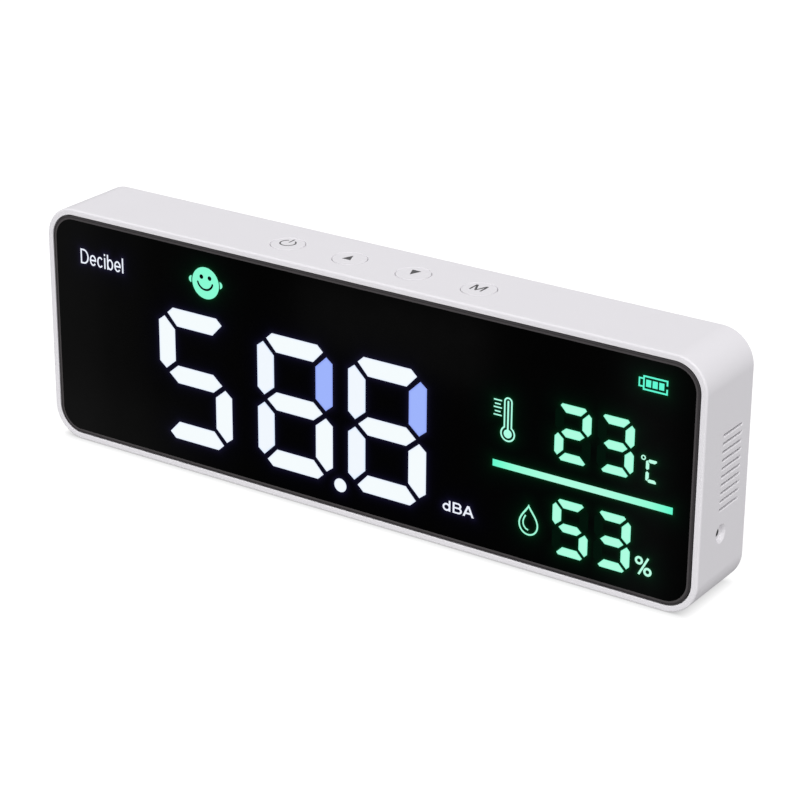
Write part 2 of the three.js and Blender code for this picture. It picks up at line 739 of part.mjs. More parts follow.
function addButtons() {
  const cap = buttonCap();
  const body = switchBody();
  const plunger = sweepZ(circle(PLUNGER_RADIUS), PLUNGER_BOTTOM, PLUNGER_TOP);
  BUTTON_NAMES.forEach((name, index) => {
    const place = [buttonCentreX(index), BUTTON_Y, 0];
    addPart(`${name}_button`, cap, WHITE_PLASTIC, place);
    addPart(`${name}_switch_body`, body, CHIP_BLACK, place);
    addPart(`${name}_switch_plunger`, plunger, BLACK_RUBBER, place);
  });
  addPart('key_board', keyBoard(), BOARD_GREEN);
}

// flat ribbon from the underside of the key board down to the face of the main board
function keyRibbon() {
  const half = RIBBON_THICKNESS / 2;
  const frontSide = RIBBON_ROUTE.map(([y, z]) => new THREE.Vector2(y - half, z));
  const backSide = RIBBON_ROUTE.map(([y, z]) => new THREE.Vector2(y + half, z)).reverse();
  return sweepX(new THREE.Shape([...frontSide, ...backSide]), ...RIBBON_EDGES);
}

// ---------------------------------------------------------------- main board

function mainBoard() {
  const plate = sweepY(
    rectangle(
      MAIN_BOARD.left,
      MAIN_BOARD.bottom,
      MAIN_BOARD.right - MAIN_BOARD.left,
      MAIN_BOARD.top - MAIN_BOARD.bottom,
    ),
    MAIN_BOARD.front,
    MAIN_BOARD_BACK,
  );
  const holes = MAIN_SCREW_AT.map(centre => (
    sweepY(circle(BOARD_HOLE_RADIUS, centre), MAIN_BOARD.front - CUT_THROUGH, MAIN_BOARD_BACK + CUT_THROUGH)
  ));
  return cut(plate, holes);
}

function usbSocket() {
  const shell = sweepY(
    roundedRectangle(USB_SIZE[0], USB_SIZE[1], USB_SIZE[1] / 2 - FACE_GAP, USB_AT),
    MAIN_BOARD_BACK + FACE_GAP,
    USB_END,
  );
  const mouthHeight = USB_SIZE[1] - 2 * USB_WALL;
  const mouth = sweepY(
    roundedRectangle(USB_SIZE[0] - 2 * USB_WALL, mouthHeight, mouthHeight / 2 - FACE_GAP, USB_AT),
    USB_END - USB_MOUTH_DEPTH,
    USB_END + CUT_THROUGH,
  );
  return cut(shell, [mouth]);
}

function usbTongue() {
  const [width, height, length] = USB_TONGUE;
  const start = USB_END - USB_MOUTH_DEPTH + FACE_GAP;
  return box(
    [USB_AT[0] - width / 2, start, USB_AT[1] - height / 2],
    [USB_AT[0] + width / 2, start + length, USB_AT[1] + height / 2],
  );
}

function addMainBoard() {
  addPart('main_board', mainBoard(), BOARD_GREEN);
  const addOnFront = (name, size, [x, z], finish) => {
    addPart(name, block(size), finish, [x, MAIN_BOARD.front - FACE_GAP - size[1], z]);
  };
  addOnFront('controller_chip', CONTROLLER_SIZE, CONTROLLER_AT, CHIP_BLACK);
  addOnFront('charger_chip', CHARGER_SIZE, CHARGER_AT, CHIP_BLACK);
  const headerLength = MAIN_BOARD.front - DISPLAY_BOARD_BACK - 2 * FACE_GAP;
  addOnFront('board_header', [HEADER_SIZE[0], headerLength, HEADER_SIZE[1]], HEADER_AT, CHIP_BLACK);
  addPart('usb_socket', usbSocket(), STEEL);
  addPart('usb_tongue', usbTongue(), CHIP_BLACK);
  const behind = MAIN_BOARD_BACK + FACE_GAP;
  const can = sweepY(circle(BUZZER_RADIUS, BUZZER_AT, BIG_ROUND_SIDES), behind, behind + BUZZER_HEIGHT);
  addPart('buzzer', can, CHIP_BLACK);
  const [plugX, plugZ] = BATTERY_PLUG_AT;
  addPart('battery_connector', block(BATTERY_PLUG_SIZE), CONNECTOR_WHITE, [plugX, behind, plugZ]);
  addPart('key_ribbon', keyRibbon(), ORANGE_FLEX);
}

// ---------------------------------------------------------------- battery

function lead(route) {
  const path = new THREE.CatmullRomCurve3(route.map(point => new THREE.Vector3(...point)));
  const section = circle(LEAD_RADIUS, [0, 0], LEAD_SIDES);
  const geometry = new THREE.ExtrudeGeometry(section, { steps: LEAD_STEPS, extrudePath: path });
  return toSolid(geometry);
}

function addBattery() {
  const { left, right, bottom, top, front, back } = BATTERY;
  const centre = [(left + right) / 2, (bottom + top) / 2];
  const outline = roundedRectangle(right - left, top - bottom, BATTERY_CORNER_RADIUS, centre);
  const cell = sweepY(outline, front, back);
  addPart('battery_cell', cell, BATTERY_WRAP);
  const padWidth = right - left - 2 * BATTERY_PAD_MARGIN;
  const padHeight = top - bottom - 2 * BATTERY_PAD_MARGIN;
  const pad = sweepY(
    rectangle(left + BATTERY_PAD_MARGIN, bottom + BATTERY_PAD_MARGIN, padWidth, padHeight),
    back + FACE_GAP,
    COVER_FRONT - FACE_GAP,
  );
  addPart('battery_pad', pad, BLACK_FOAM);
  addPart('battery_lead_red', lead(RED_LEAD_ROUTE), RED_WIRE);
  addPart('battery_lead_black', lead(BLACK_LEAD_ROUTE), BLACK_WIRE);
}

// ---------------------------------------------------------------- sensors by the right wall

const BOOT_X = INNER_WALL_X - FACE_GAP - BOOT_LENGTH;

function microphoneBoot() {
  const boot = turned([
    [0, 0],
    [BOOT_RADIUS, 0],
    [BOOT_RADIUS, BOOT_LENGTH],
    [0, BOOT_LENGTH],
  ]);
  const pocket = turned([
    [0, -CUT_THROUGH],
    [BOOT_POCKET_RADIUS, -CUT_THROUGH],
    [BOOT_POCKET_RADIUS, BOOT_POCKET_DEPTH],
    [BOOT_MOUTH_RADIUS, BOOT_POCKET_DEPTH],
    [BOOT_MOUTH_RADIUS, BOOT_LENGTH + CUT_THROUGH],
    [0, BOOT_LENGTH + CUT_THROUGH],
  ]);
  return cut(boot, [pocket]).rotate([0, 90, 0]).translate([BOOT_X, MIC_Y, MIC_Z]);
}

function climateBoard() {
  return box(
    [CLIMATE_BOARD_X[0], CLIMATE_Y - CLIMATE_HALF_WIDTH, CLIMATE_Z[0]],
    [CLIMATE_BOARD_X[1], CLIMATE_Y + CLIMATE_HALF_WIDTH, CLIMATE_Z[1]],
  );
}

function climateSensor() {
  const start = CLIMATE_BOARD_X[1] + FACE_GAP;
  const half = CLIMATE_SENSOR_SIZE / 2;
  return box(
    [start, CLIMATE_Y - half, CLIMATE_SENSOR_Z - half],
    [start + CLIMATE_SENSOR_THICKNESS, CLIMATE_Y + half, CLIMATE_SENSOR_Z + half],
  );
}

function climateLead() {
  return box(
    [MAIN_BOARD.right + EDGE_GAP, CLIMATE_LEAD_Y[0], CLIMATE_LEAD_Z[0]],
    [CLIMATE_BOARD_X[0] - EDGE_GAP, CLIMATE_LEAD_Y[1], CLIMATE_LEAD_Z[1]],
  );
}

function addSensors() {
  const capsuleEnd = BOOT_X + BOOT_POCKET_DEPTH - FACE_GAP;
  const capsuleStart = capsuleEnd - CAPSULE_LENGTH;
  addPart('microphone_boot', microphoneBoot(), BLACK_RUBBER);
  const capsule = sweepX(circle(CAPSULE_RADIUS, [MIC_Y, MIC_Z]), capsuleStart, capsuleEnd);
  addPart('microphone_capsule', capsule, ALUMINIUM);
  addPart('microphone_lead', lead(MIC_LEAD_ROUTE), BLACK_WIRE);
  addPart('climate_board', climateBoard(), BOARD_GREEN);
  addPart('climate_sensor', climateSensor(), CHIP_BLACK);
  addPart('climate_lead', climateLead(), ORANGE_FLEX);
}

// ---------------------------------------------------------------- assembly

addPart('front_housing', frontHousing(), WHITE_PLASTIC);
addPart('rear_cover', rearCover(), WHITE_PLASTIC);
addDisplay();
addButtons();
addMainBoard();
addBattery();
addSensors();
addScrews();

export default meter;
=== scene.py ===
"""Looks of a sound level meter with a temperature and humidity display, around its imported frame.

Metres, in the frame's axes: X runs along the front, +Y from the front to the back, +Z is up.
"""

import math

import bmesh
import bpy
import numpy as np
from mathutils import Matrix, Vector


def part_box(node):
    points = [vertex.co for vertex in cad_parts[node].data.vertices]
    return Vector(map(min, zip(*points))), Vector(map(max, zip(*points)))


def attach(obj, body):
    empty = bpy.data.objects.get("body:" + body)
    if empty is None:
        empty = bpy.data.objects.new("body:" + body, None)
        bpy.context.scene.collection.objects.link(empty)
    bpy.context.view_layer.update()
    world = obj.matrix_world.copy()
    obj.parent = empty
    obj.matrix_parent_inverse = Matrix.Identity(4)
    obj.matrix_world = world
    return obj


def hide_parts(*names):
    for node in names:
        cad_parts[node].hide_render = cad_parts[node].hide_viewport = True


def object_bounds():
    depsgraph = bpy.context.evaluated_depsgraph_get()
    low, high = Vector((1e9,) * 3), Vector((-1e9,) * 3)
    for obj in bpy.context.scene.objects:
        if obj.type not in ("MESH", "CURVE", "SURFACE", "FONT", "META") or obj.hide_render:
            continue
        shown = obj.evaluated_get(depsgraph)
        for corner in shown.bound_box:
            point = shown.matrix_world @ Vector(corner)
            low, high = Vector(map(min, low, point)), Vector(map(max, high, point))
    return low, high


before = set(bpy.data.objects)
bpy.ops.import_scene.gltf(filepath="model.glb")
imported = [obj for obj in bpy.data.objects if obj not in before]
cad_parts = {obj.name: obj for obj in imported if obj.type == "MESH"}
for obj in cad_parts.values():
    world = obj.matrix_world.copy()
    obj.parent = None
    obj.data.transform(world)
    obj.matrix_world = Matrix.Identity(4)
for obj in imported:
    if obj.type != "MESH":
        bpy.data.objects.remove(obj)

CAD_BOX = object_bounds()
LOW, HIGH = CAD_BOX
MM = 0.001
QUARTER = math.pi / 2

# ---------------- sizes, in metres

WIDTH = HIGH.x - LOW.x
HEIGHT = HIGH.z - LOW.z
FRONT = LOW.y
BACK = HIGH.y
MIDDLE = (LOW.z + HIGH.z) / 2

CORNER_RADIUS = 12 * MM
CORNER_STEPS = 24
EDGE_ROUND = 0.7 * MM
WALL = 2.27 * MM
LIP_ROUND = 0.25 * MM
WINDOW_INSET = 5.8 * MM
SHELF_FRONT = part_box("lens_gasket")[1].y + 0.1 * MM
SHELF_BACK = SHELF_FRONT + 1.5 * MM
COVER_FRONT = BACK - 2 * MM
PLATE_INSET = 2.57 * MM
BEYOND = 1 * MM

BORDER_WIDTH = 1.35 * MM
PANEL_FRONT = FRONT + 0.05 * MM
PLATE_FRONT = FRONT + 0.008 * MM
PLATE_BACK = PANEL_FRONT + 0.02 * MM
UNLIT_FRONT = FRONT + 0.035 * MM

KEYS = ("power", "up", "down", "mode")
CAP_RADIUS = 6.12 * MM
CAP_HOLE_RADIUS = 6.26 * MM
CAP_TOP = HIGH.z - 0.03 * MM
PRINT_TOP = HIGH.z - 0.01 * MM


# ---------------- mesh helpers


def add_object(name, data):
    made = bpy.data.objects.new(name, data)
    bpy.context.scene.collection.objects.link(made)
    return made


def new_mesh(name, points, faces):
    mesh = bpy.data.meshes.new(name)
    mesh.from_pydata([tuple(point) for point in points], [], faces)
    return mesh


def cleaned(mesh, merge=1e-7):
    """Joins the points that coincide, if asked to, and turns every face outwards."""
    bm = bmesh.new()
    bm.from_mesh(mesh)
    if merge:
        bmesh.ops.remove_doubles(bm, verts=bm.verts, dist=merge)
    bmesh.ops.recalc_face_normals(bm, faces=bm.faces)
    bm.to_mesh(mesh)
    bm.free()
    return mesh


def mesh_object(name, points, faces):
    return add_object(name, cleaned(new_mesh(name, points, faces)))


def band(here, there, count):
    """Faces between two rings of points, from the first index of each."""
    faces = []
    for side in range(count):
        after = (side + 1) % count
        faces.append((here + side, here + after, there + after, there + side))
    return faces


def loft(name, loops, ring=False):
    """A solid through loops of equally many points, closed round on itself or with flat ends."""
    count, rows = len(loops[0]), len(loops)
    faces = []
    for row in range(rows if ring else rows - 1):
        faces += band(row * count, (row + 1) % rows * count, count)
    if not ring:
        faces.append(tuple(reversed(range(count))))
        faces.append(tuple(range((rows - 1) * count, rows * count)))
    return mesh_object(name, [point for loop in loops for point in loop], faces)


def turned(name, profile, sides=64, matrix=None):
    """A profile of (radius, height) pairs turned about Z; both ends are on the axis."""
    points = [(0, 0, profile[0][1]), (0, 0, profile[-1][1])]
    rings = profile[1:-1]
    for radius, height in rings:
        for side in range(sides):
            angle = 2 * math.pi * side / sides
            points.append((radius * math.cos(angle), radius * math.sin(angle), height))
    last = 2 + (len(rings) - 1) * sides
    faces = []
    for side in range(sides):
        after = (side + 1) % sides
        faces += [(0, 2 + after, 2 + side), (1, last + side, last + after)]
    for row in range(len(rings) - 1):
        faces += band(2 + row * sides, 2 + (row + 1) * sides, sides)
    made = mesh_object(name, points, faces)
    if matrix is not None:
        made.data.transform(matrix)
    return made


def arc(centre, radius, start, end, steps):
    """Points on an arc, in a plane, with its angles in degrees."""
    points = []
    for step in range(steps + 1):
        angle = math.radians(start + (end - start) * step / steps)
        points.append((centre[0] + radius * math.cos(angle), centre[1] + radius * math.sin(angle)))
    return points


def rounded(half_x, half_y, radius, steps=4):
    """A rectangle with round corners."""
    points = []
    for quadrant in range(4):
        sign_x = 1 if quadrant in (0, 3) else -1
        sign_y = 1 if quadrant < 2 else -1
        centre = (sign_x * (half_x - radius), sign_y * (half_y - radius))
        points += arc(centre, radius, quadrant * 90, quadrant * 90 + 90, steps)
    return points


def case_loop(inset, y):
    """The case's outline drawn inwards by an inset, at one depth."""
    outline = rounded(
        WIDTH / 2 - inset, HEIGHT / 2 - inset, CORNER_RADIUS - inset, CORNER_STEPS
    )
    return [(x, y, MIDDLE + z) for x, z in outline]


def stadium(half_length, radius, steps=8):
    """A slot with round ends, along the first axis of its plane."""
    right = arc((half_length, 0), radius, -90, 90, steps)
    left = arc((-half_length, 0), radius, 90, 270, steps)
    return right + left


def joined(name, objects):
    bm = bmesh.new()
    for item in objects:
        bm.from_mesh(item.data)
        bpy.data.objects.remove(item)
    mesh = bpy.data.meshes.new(name)
    bm.to_mesh(mesh)
    bm.free()
    return add_object(name, mesh)


def evaluated(obj):
    graph = bpy.context.evaluated_depsgraph_get()
    return bpy.data.meshes.new_from_object(obj.evaluated_get(graph))


def settle(obj):
    """Applies an object's modifiers to its mesh."""
    mesh = evaluated(obj)
    obj.modifiers.clear()
    obj.data = mesh
    return obj


def combine(obj, tools, operation):
    tool = joined("tool", tools)
    modifier = obj.modifiers.new(operation.lower(), "BOOLEAN")
    modifier.operation = operation
    modifier.solver = "EXACT"
    modifier.object = tool
    settle(obj)
    bpy.data.objects.remove(tool)
    return obj


def smooth(obj, degrees=32):
    """Smooth shading with sharp edges kept, and flat faces kept flat beside their fillets."""
    bm = bmesh.new()
    bm.from_mesh(obj.data)
    bmesh.ops.remove_doubles(bm, verts=bm.verts, dist=5e-7)
    bmesh.ops.dissolve_degenerate(bm, edges=bm.edges, dist=5e-7)
    for face in bm.faces:
        face.smooth = True
    bm.to_mesh(obj.data)
    bm.free()
    obj.data.set_sharp_from_angle(angle=math.radians(degrees))
    weighted = obj.modifiers.new("weighted", "WEIGHTED_NORMAL")
    weighted.keep_sharp = True
    weighted.mode = "FACE_AREA"
    weighted.weight = 90
    return settle(obj)


# ---------------- materials

ROUGH_SPREAD = 0.05


def feed(tree, made, inputs):
    """Sets a node's sockets to numbers or colours, or links them to other nodes' outputs."""
    for key, value in inputs.items():
        socket = made.inputs[key]
        if isinstance(value, bpy.types.NodeSocket):
            tree.links.new(value, socket)
        elif socket.type == "RGBA":
            socket.default_value = (*value, 1)
        else:
            socket.default_value = value


def node(tree, kind, inputs=None, **values):
    made = tree.nodes.new(kind)
    for key, value in values.items():
        setattr(made, key, value)
    feed(tree, made, inputs or {})
    return made


def noise(tree, scale, detail):
    place = node(tree, "ShaderNodeTexCoord").outputs["Object"]
    return node(
        tree, "ShaderNodeTexNoise", {"Scale": scale, "Detail": detail, "Vector": place}
    )


def spread(tree, value, low, high):
    """A value between 0 and 1, mapped to a range."""
    inputs = {"To Min": low, "To Max": high, "Value": value}
    return node(tree, "ShaderNodeMapRange", inputs).outputs["Result"]


def smoothstep(tree, value, start, end, top=1.0):
    """Rises smoothly from 0 to its top while a value goes from a start to an end."""
    inputs = {"From Min": start, "From Max": end, "To Max": top, "Value": value}
    made = node(tree, "ShaderNodeMapRange", inputs, interpolation_type="SMOOTHSTEP")
    return made.outputs["Result"]


def combined(tree, operation, first, second):
    return node(tree, "ShaderNodeMath", {0: first, 1: second}, operation=operation).outputs[0]


def mixed(tree, factor, first, second):
    """A colour or an output between two others."""
    inputs = {"Factor": factor, 6: first, 7: second}
    return node(tree, "ShaderNodeMix", inputs, data_type="RGBA").outputs[2]


def shaded(colour, share):
    return tuple(channel * share for channel in colour)


def bumped(tree, height, strength, distance):
    inputs = {"Strength": strength, "Distance": distance, "Height": height}
    return node(tree, "ShaderNodeBump", inputs).outputs["Normal"]


def base_material(name, roughness, metallic=0.0):
    material = bpy.data.materials.new(name)
    material.use_nodes = True
    tree = material.node_tree
    shader = tree.nodes["Principled BSDF"]
    feed(tree, shader, {"Metallic": metallic, "IOR": 1.5, "Roughness": roughness})
    return material, tree, shader


def surface(
    name, colour, roughness, metallic=0.0, variation=0.03, patch=60, grain=3000, bump=0.02,
    stretch=None,
):
    """Slight patches of tone, a rough and a smooth grain, and a fine bump."""
    material, tree, shader = base_material(name, roughness, metallic)
    patches = noise(tree, patch, 4).outputs["Fac"]
    fine = noise(tree, grain, 3)
    if stretch:
        place = fine.inputs["Vector"].links[0].from_socket
        mapping = node(tree, "ShaderNodeMapping", {"Scale": stretch, "Vector": place})
        feed(tree, fine, {"Vector": mapping.outputs["Vector"]})
    height = fine.outputs["Fac"]
    darker, lighter = shaded(colour, 1 - variation), shaded(colour, 1 + variation)
    feed(tree, shader, {
        "Base Color": mixed(tree, patches, darker, lighter),
        "Roughness": spread(tree, height, roughness - ROUGH_SPREAD, roughness + ROUGH_SPREAD),
        "Normal": bumped(tree, height, bump, 0.0002),
    })
    return material


def lit_surface(name, attribute):
    """A glossy black face that shows the light stored in a colour attribute."""
    material, tree, shader = base_material(name, 0.06)
    stored = node(tree, "ShaderNodeAttribute", attribute_name=attribute).outputs["Color"]
    haze = spread(tree, noise(tree, 500, 2).outputs["Fac"], 0.99, 1.01)
    light = node(tree, "ShaderNodeVectorMath", {0: stored, "Scale": haze}, operation="SCALE")
    feed(tree, shader, {
        "Base Color": (0.0006, 0.0006, 0.0006),
        "Emission Color": light.outputs["Vector"],
        "Emission Strength": 1.0,
        "Roughness": spread(tree, noise(tree, 120, 3).outputs["Fac"], 0.04, 0.09),
    })
    return material


def board_surface():
    """Green solder mask over darker tracks."""
    material, tree, shader = base_material("circuit_board", 0.35)
    place = node(tree, "ShaderNodeTexCoord").outputs["Object"]
    upright = node(tree, "ShaderNodeMapping", {"Rotation": (QUARTER, 0, 0), "Vector": place})
    tracks = node(tree, "ShaderNodeTexBrick", {
        "Scale": 260,
        "Mortar Size": 0.035,
        "Color1": (0.014, 0.105, 0.045),
        "Color2": (0.018, 0.125, 0.055),
        "Mortar": (0.035, 0.22, 0.09),
        "Vector": upright.outputs["Vector"],
    })
    feed(tree, shader, {
        "Base Color": tracks.outputs["Color"],
        "Normal": bumped(tree, tracks.outputs["Fac"], 0.15, 0.0001),
        "Roughness": spread(tree, noise(tree, 2500, 3).outputs["Fac"], 0.28, 0.42),
    })
    return material


SURFACES = (
    ("white_plastic", (0.745, 0.73, 0.755), 0.5,
     {"variation": 0.012, "patch": 25, "grain": 2600, "bump": 0.035}),
    ("black_foam", (0.02, 0.02, 0.022), 0.9, {"variation": 0.2, "grain": 1800, "bump": 0.6}),
    ("diffuser_film", (0.5, 0.51, 0.53), 0.4, {"grain": 4000}),
    ("reflector_white", (0.82, 0.82, 0.8), 0.55, {}),
    ("chip_black", (0.018, 0.018, 0.02), 0.45, {"variation": 0.15, "grain": 5000, "bump": 0.2}),
    ("steel", (0.56, 0.57, 0.58), 0.3,
     {"metallic": 1.0, "variation": 0.06, "grain": 900, "bump": 0.05, "stretch": (1, 8, 1)}),
    ("connector_white", (0.75, 0.71, 0.6), 0.5, {}),
    ("battery_wrap", (0.52, 0.54, 0.56), 0.32,
     {"metallic": 0.7, "variation": 0.08, "patch": 90, "grain": 700, "bump": 0.3}),
    ("red_wire", (0.4, 0.015, 0.015), 0.45, {}),
    ("black_wire", (0.015, 0.015, 0.016), 0.45, {"variation": 0.15}),
    ("orange_flex", (0.42, 0.16, 0.03), 0.35,
     {"variation": 0.12, "patch": 300, "grain": 1500, "stretch": (8, 1, 1)}),
    ("black_rubber", (0.02, 0.02, 0.021), 0.8,
     {"variation": 0.15, "grain": 2500, "bump": 0.25}),
    ("dark_print", (0.062, 0.060, 0.063), 0.55, {"variation": 0.1, "patch": 400, "grain": 4000}),
    # The panel border is one dark grey; the outer band is a darker copy of it, with painted shade.
    ("border_inner", (0.062, 0.056, 0.058), 0.42, {"variation": 0.06, "patch": 150, "bump": 0.03}),
    ("shaded_border_outer", (0.034, 0.030, 0.032), 0.42, {"variation": 0.06, "patch": 150, "bump": 0.03}),
    ("contact_gold", (0.75, 0.52, 0.2), 0.25, {"metallic": 1.0, "variation": 0.05}),
)
FINISH = {name: surface(name, colour, rough, **more) for name, colour, rough, more in SURFACES}
FINISH["circuit_board"] = board_surface()
FINISH["smoked_panel"] = lit_surface("smoked_panel", "halo")
for name in ("lit_white", "lit_violet", "lit_green"):
    FINISH[name] = lit_surface(name, "light")


def wear(obj, slot, body, *nodes):
    """Gives a piece its finish, its body and the CAD nodes that it stands for."""
    if not obj.data.materials:
        obj.data.materials.append(FINISH[slot])
    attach(obj, body)
    if nodes:
        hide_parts(*nodes)
    return obj


# ---------------- case

ALONG_Y = Matrix.Rotation(-QUARTER, 4, "X")
ALONG_X = Matrix.Rotation(QUARTER, 4, "Y")
TURN_FROM_Z = {"x": ALONG_X, "y": ALONG_Y, "z": Matrix()}


def centre_of(name):
    low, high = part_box(name)
    return (low + high) / 2


def centres(stem, count):
    """The centres of the numbered nodes of one kind."""
    return [centre_of(f"{stem}_{index}") for index in range(1, count + 1)]


def on_axis(along, spot):
    """The frame of a line through a spot along an axis, with its zero at that axis's zero."""
    shift = spot.copy()
    shift["xyz".index(along)] = 0
    return Matrix.Translation(shift) @ TURN_FROM_Z[along]


def pin(along, spot, radius, start, end):
    """A round bar along an axis, through a spot."""
    profile = [(0, start), (radius, start), (radius, end), (0, end)]
    return turned("pin", profile, 32, on_axis(along, spot))


BUTTON_SPOTS = {key: centre_of(f"{key}_button") for key in KEYS}

VENT_COUNT = 10
VENT_PITCH = 2.9 * MM
VENT_LOWEST = 34.3 * MM
VENT_RADIUS = 0.4 * MM
VENT_HALF_LENGTH = 6.15 * MM
VENT_Y = 3.3 * MM
VENT_MOUTH = 0.35 * MM

DISH_RADIUS = 3.35 * MM
DISH_DEPTH = 1.4 * MM
DISH_HOLE = 1.3 * MM
DISH_RISE = 0.45 * MM
DISH_SPOT = centre_of("microphone_boot")
DISH_FRAME = Matrix.Translation((HIGH.x, DISH_SPOT.y, DISH_SPOT.z + DISH_RISE)) @ ALONG_X

SCREW_COUNT = 6
SCREW_SPOTS = centres("case_screw", SCREW_COUNT)
CASE_SCREW_BORE = 1.3 * MM
CASE_SCREW_REACH = 12 * MM
SCREW_BORE = 1.1 * MM
BOSS_RADIUS = 3.1 * MM
KEY_POST_RADIUS = 2.6 * MM
CLIMATE_POST_RADIUS = 1.4 * MM
CLIMATE_POST_INSET = 1.7 * MM
OVERLAP = 0.1 * MM


def button_hole(spot):
    mouth = 0.38 * MM
    flare = arc((CAP_HOLE_RADIUS + mouth, HIGH.z - mouth), mouth, 180, 90, 4)
    profile = [(0, HIGH.z - 2 * WALL), (CAP_HOLE_RADIUS, HIGH.z - 2 * WALL)]
    profile += flare + [(CAP_HOLE_RADIUS + mouth, HIGH.z + BEYOND), (0, HIGH.z + BEYOND)]
    return turned("hole", profile, 96, on_axis("z", spot))


def flared(start, face, mouth, steps):
    """The depths of a hole with a rounded mouth in a face, and how far it has grown at each."""
    curve = arc((-mouth, mouth), mouth, -90, 0, steps)
    return [(start, 0), *((face + depth, grow) for depth, grow in curve), (face + BEYOND, mouth)]


def vent(index):
    z = VENT_LOWEST + index * VENT_PITCH
    loops = []
    for x, grow in flared(HIGH.x - 2 * WALL, HIGH.x, VENT_MOUTH, 5):
        outline = stadium(VENT_HALF_LENGTH, VENT_RADIUS + grow)
        loops.append([(x, VENT_Y + y, z + up) for y, up in outline])
    return loft("vent", loops)


def microphone_inlet():
    """A dish with a chamfered rim, steep walls and a round inlet in its floor."""
    mouth, foot = 0.1 * MM, 0.25 * MM
    throat, floor, chamfer = 2.8 * MM, 2.5 * MM, 0.35 * MM
    profile = [(0, -2 * WALL), (DISH_HOLE, -2 * WALL), (DISH_HOLE, -DISH_DEPTH)]
    profile += arc((floor - foot, -DISH_DEPTH + foot), foot, -80, -10, 5)
    profile += [(throat, -chamfer - mouth), (throat + mouth, -chamfer)]
    profile += arc((DISH_RADIUS + mouth, -mouth), mouth, 145, 90, 4)
    profile += [(DISH_RADIUS + mouth, BEYOND), (0, BEYOND)]
    return turned("inlet", profile, 96, DISH_FRAME)


def inlet_shade_disk():
    """A black disk that closes the inlet just behind the floor of the dish, a dark stand-in for the
    shade in the hole.
    """
    radius, front, back = DISH_HOLE - 0.02 * MM, -DISH_DEPTH - 0.05 * MM, -DISH_DEPTH - 0.4 * MM
    profile = [(0, back), (radius, back), (radius, front), (0, front)]
    return turned("inlet_shade_disk", profile, 48, DISH_FRAME)


def front_shell():
    """The case's four walls with the shelf behind the panel, the screw posts and the openings."""
    bevel, corner = 0.2 * MM, 0.5 * MM
    profile = arc((EDGE_ROUND, BACK - EDGE_ROUND), EDGE_ROUND, 90, 180, 8)
    profile += arc((EDGE_ROUND, FRONT + EDGE_ROUND), EDGE_ROUND, 180, 270, 8)
    profile += arc((WALL - LIP_ROUND, FRONT + LIP_ROUND), LIP_ROUND, -90, 0, 4)
    profile += [
        (WALL, SHELF_FRONT),
        (WINDOW_INSET - bevel, SHELF_FRONT),
        (WINDOW_INSET, SHELF_FRONT + bevel),
        (WINDOW_INSET, SHELF_BACK - bevel),
        (WINDOW_INSET - bevel, SHELF_BACK),
    ]
    profile += arc((WALL + corner, SHELF_BACK + corner), corner, 270, 180, 4)
    profile += arc((WALL - LIP_ROUND, BACK - LIP_ROUND), LIP_ROUND, 0, 90, 4)
    shell = loft("front_shell", [case_loop(inset, y) for inset, y in profile], ring=True)

    display_posts, display_top = centres("display_screw", 4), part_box("segment_reflector")[1].y
    key_posts, key_board_top = centres("key_board_screw", 2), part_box("key_board")[1].z
    low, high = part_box("climate_board")
    shelf = SHELF_BACK - OVERLAP
    adds = [pin("y", spot, BOSS_RADIUS, shelf, COVER_FRONT - OVERLAP) for spot in SCREW_SPOTS]
    adds += [pin("y", spot, BOSS_RADIUS, shelf, display_top) for spot in display_posts]
    for spot in key_posts:
        start, end = key_board_top + OVERLAP, HIGH.z - WALL + OVERLAP
        adds.append(pin("z", spot, KEY_POST_RADIUS, start, end))
    for z in (low.z + CLIMATE_POST_INSET, high.z - CLIMATE_POST_INSET):
        spot = Vector((0, (low.y + high.y) / 2, z))
        start, end = high.x + OVERLAP, HIGH.x - WALL + OVERLAP
        adds.append(pin("x", spot, CLIMATE_POST_RADIUS, start, end))
    combine(shell, adds, "UNION")

    cuts = [button_hole(spot) for spot in BUTTON_SPOTS.values()]
    cuts += [vent(index) for index in range(VENT_COUNT)]
    cuts.append(microphone_inlet())
    start = COVER_FRONT - CASE_SCREW_REACH
    cuts += [pin("y", spot, CASE_SCREW_BORE, start, BACK) for spot in SCREW_SPOTS]
    for spot in display_posts:
        cuts.append(pin("y", spot, SCREW_BORE, SHELF_BACK, display_top + BEYOND))
    for spot in key_posts:
        cuts.append(pin("z", spot, SCREW_BORE, key_board_top, HIGH.z - 2 * WALL))
    combine(shell, cuts, "DIFFERENCE")
    return smooth(shell)


KEYHOLE_X = 80 * MM
KEYHOLE_Z = 60 * MM
KEYHOLE_RADIUS = 4.5 * MM
KEYHOLE_SLOT = 2.2 * MM
KEYHOLE_RISE = 8 * MM
COVER_ROUND = 0.3 * MM


def keyhole_outline(grow):
    """A round entry with a narrower slot rising from it."""
    entry = KEYHOLE_RADIUS + grow
    slot = KEYHOLE_SLOT + grow
    turn = math.degrees(math.asin(slot / entry))
    lower = arc((0, 0), entry, 90 + turn, 450 - turn, 40)
    upper = arc((0, KEYHOLE_RISE), slot, 0, 180, 16)
    return lower + upper


def cover_cut(outline_of, x, z, mouth=0.25 * MM):
    """A hole through the cover with a rounded mouth, from an outline that can grow."""
    return loft("cover_cut", [
        [(x + right, y, z + up) for right, up in outline_of(grow)]
        for y, grow in flared(COVER_FRONT - BEYOND, BACK, mouth, 4)
    ])


def port_outline(grow):
    return stadium(2.9 * MM, 2 * MM + grow, 12)


def grille_outline(grow):
    return arc((0, 0), 0.8 * MM + grow, 0, 360, 24)[:-1]


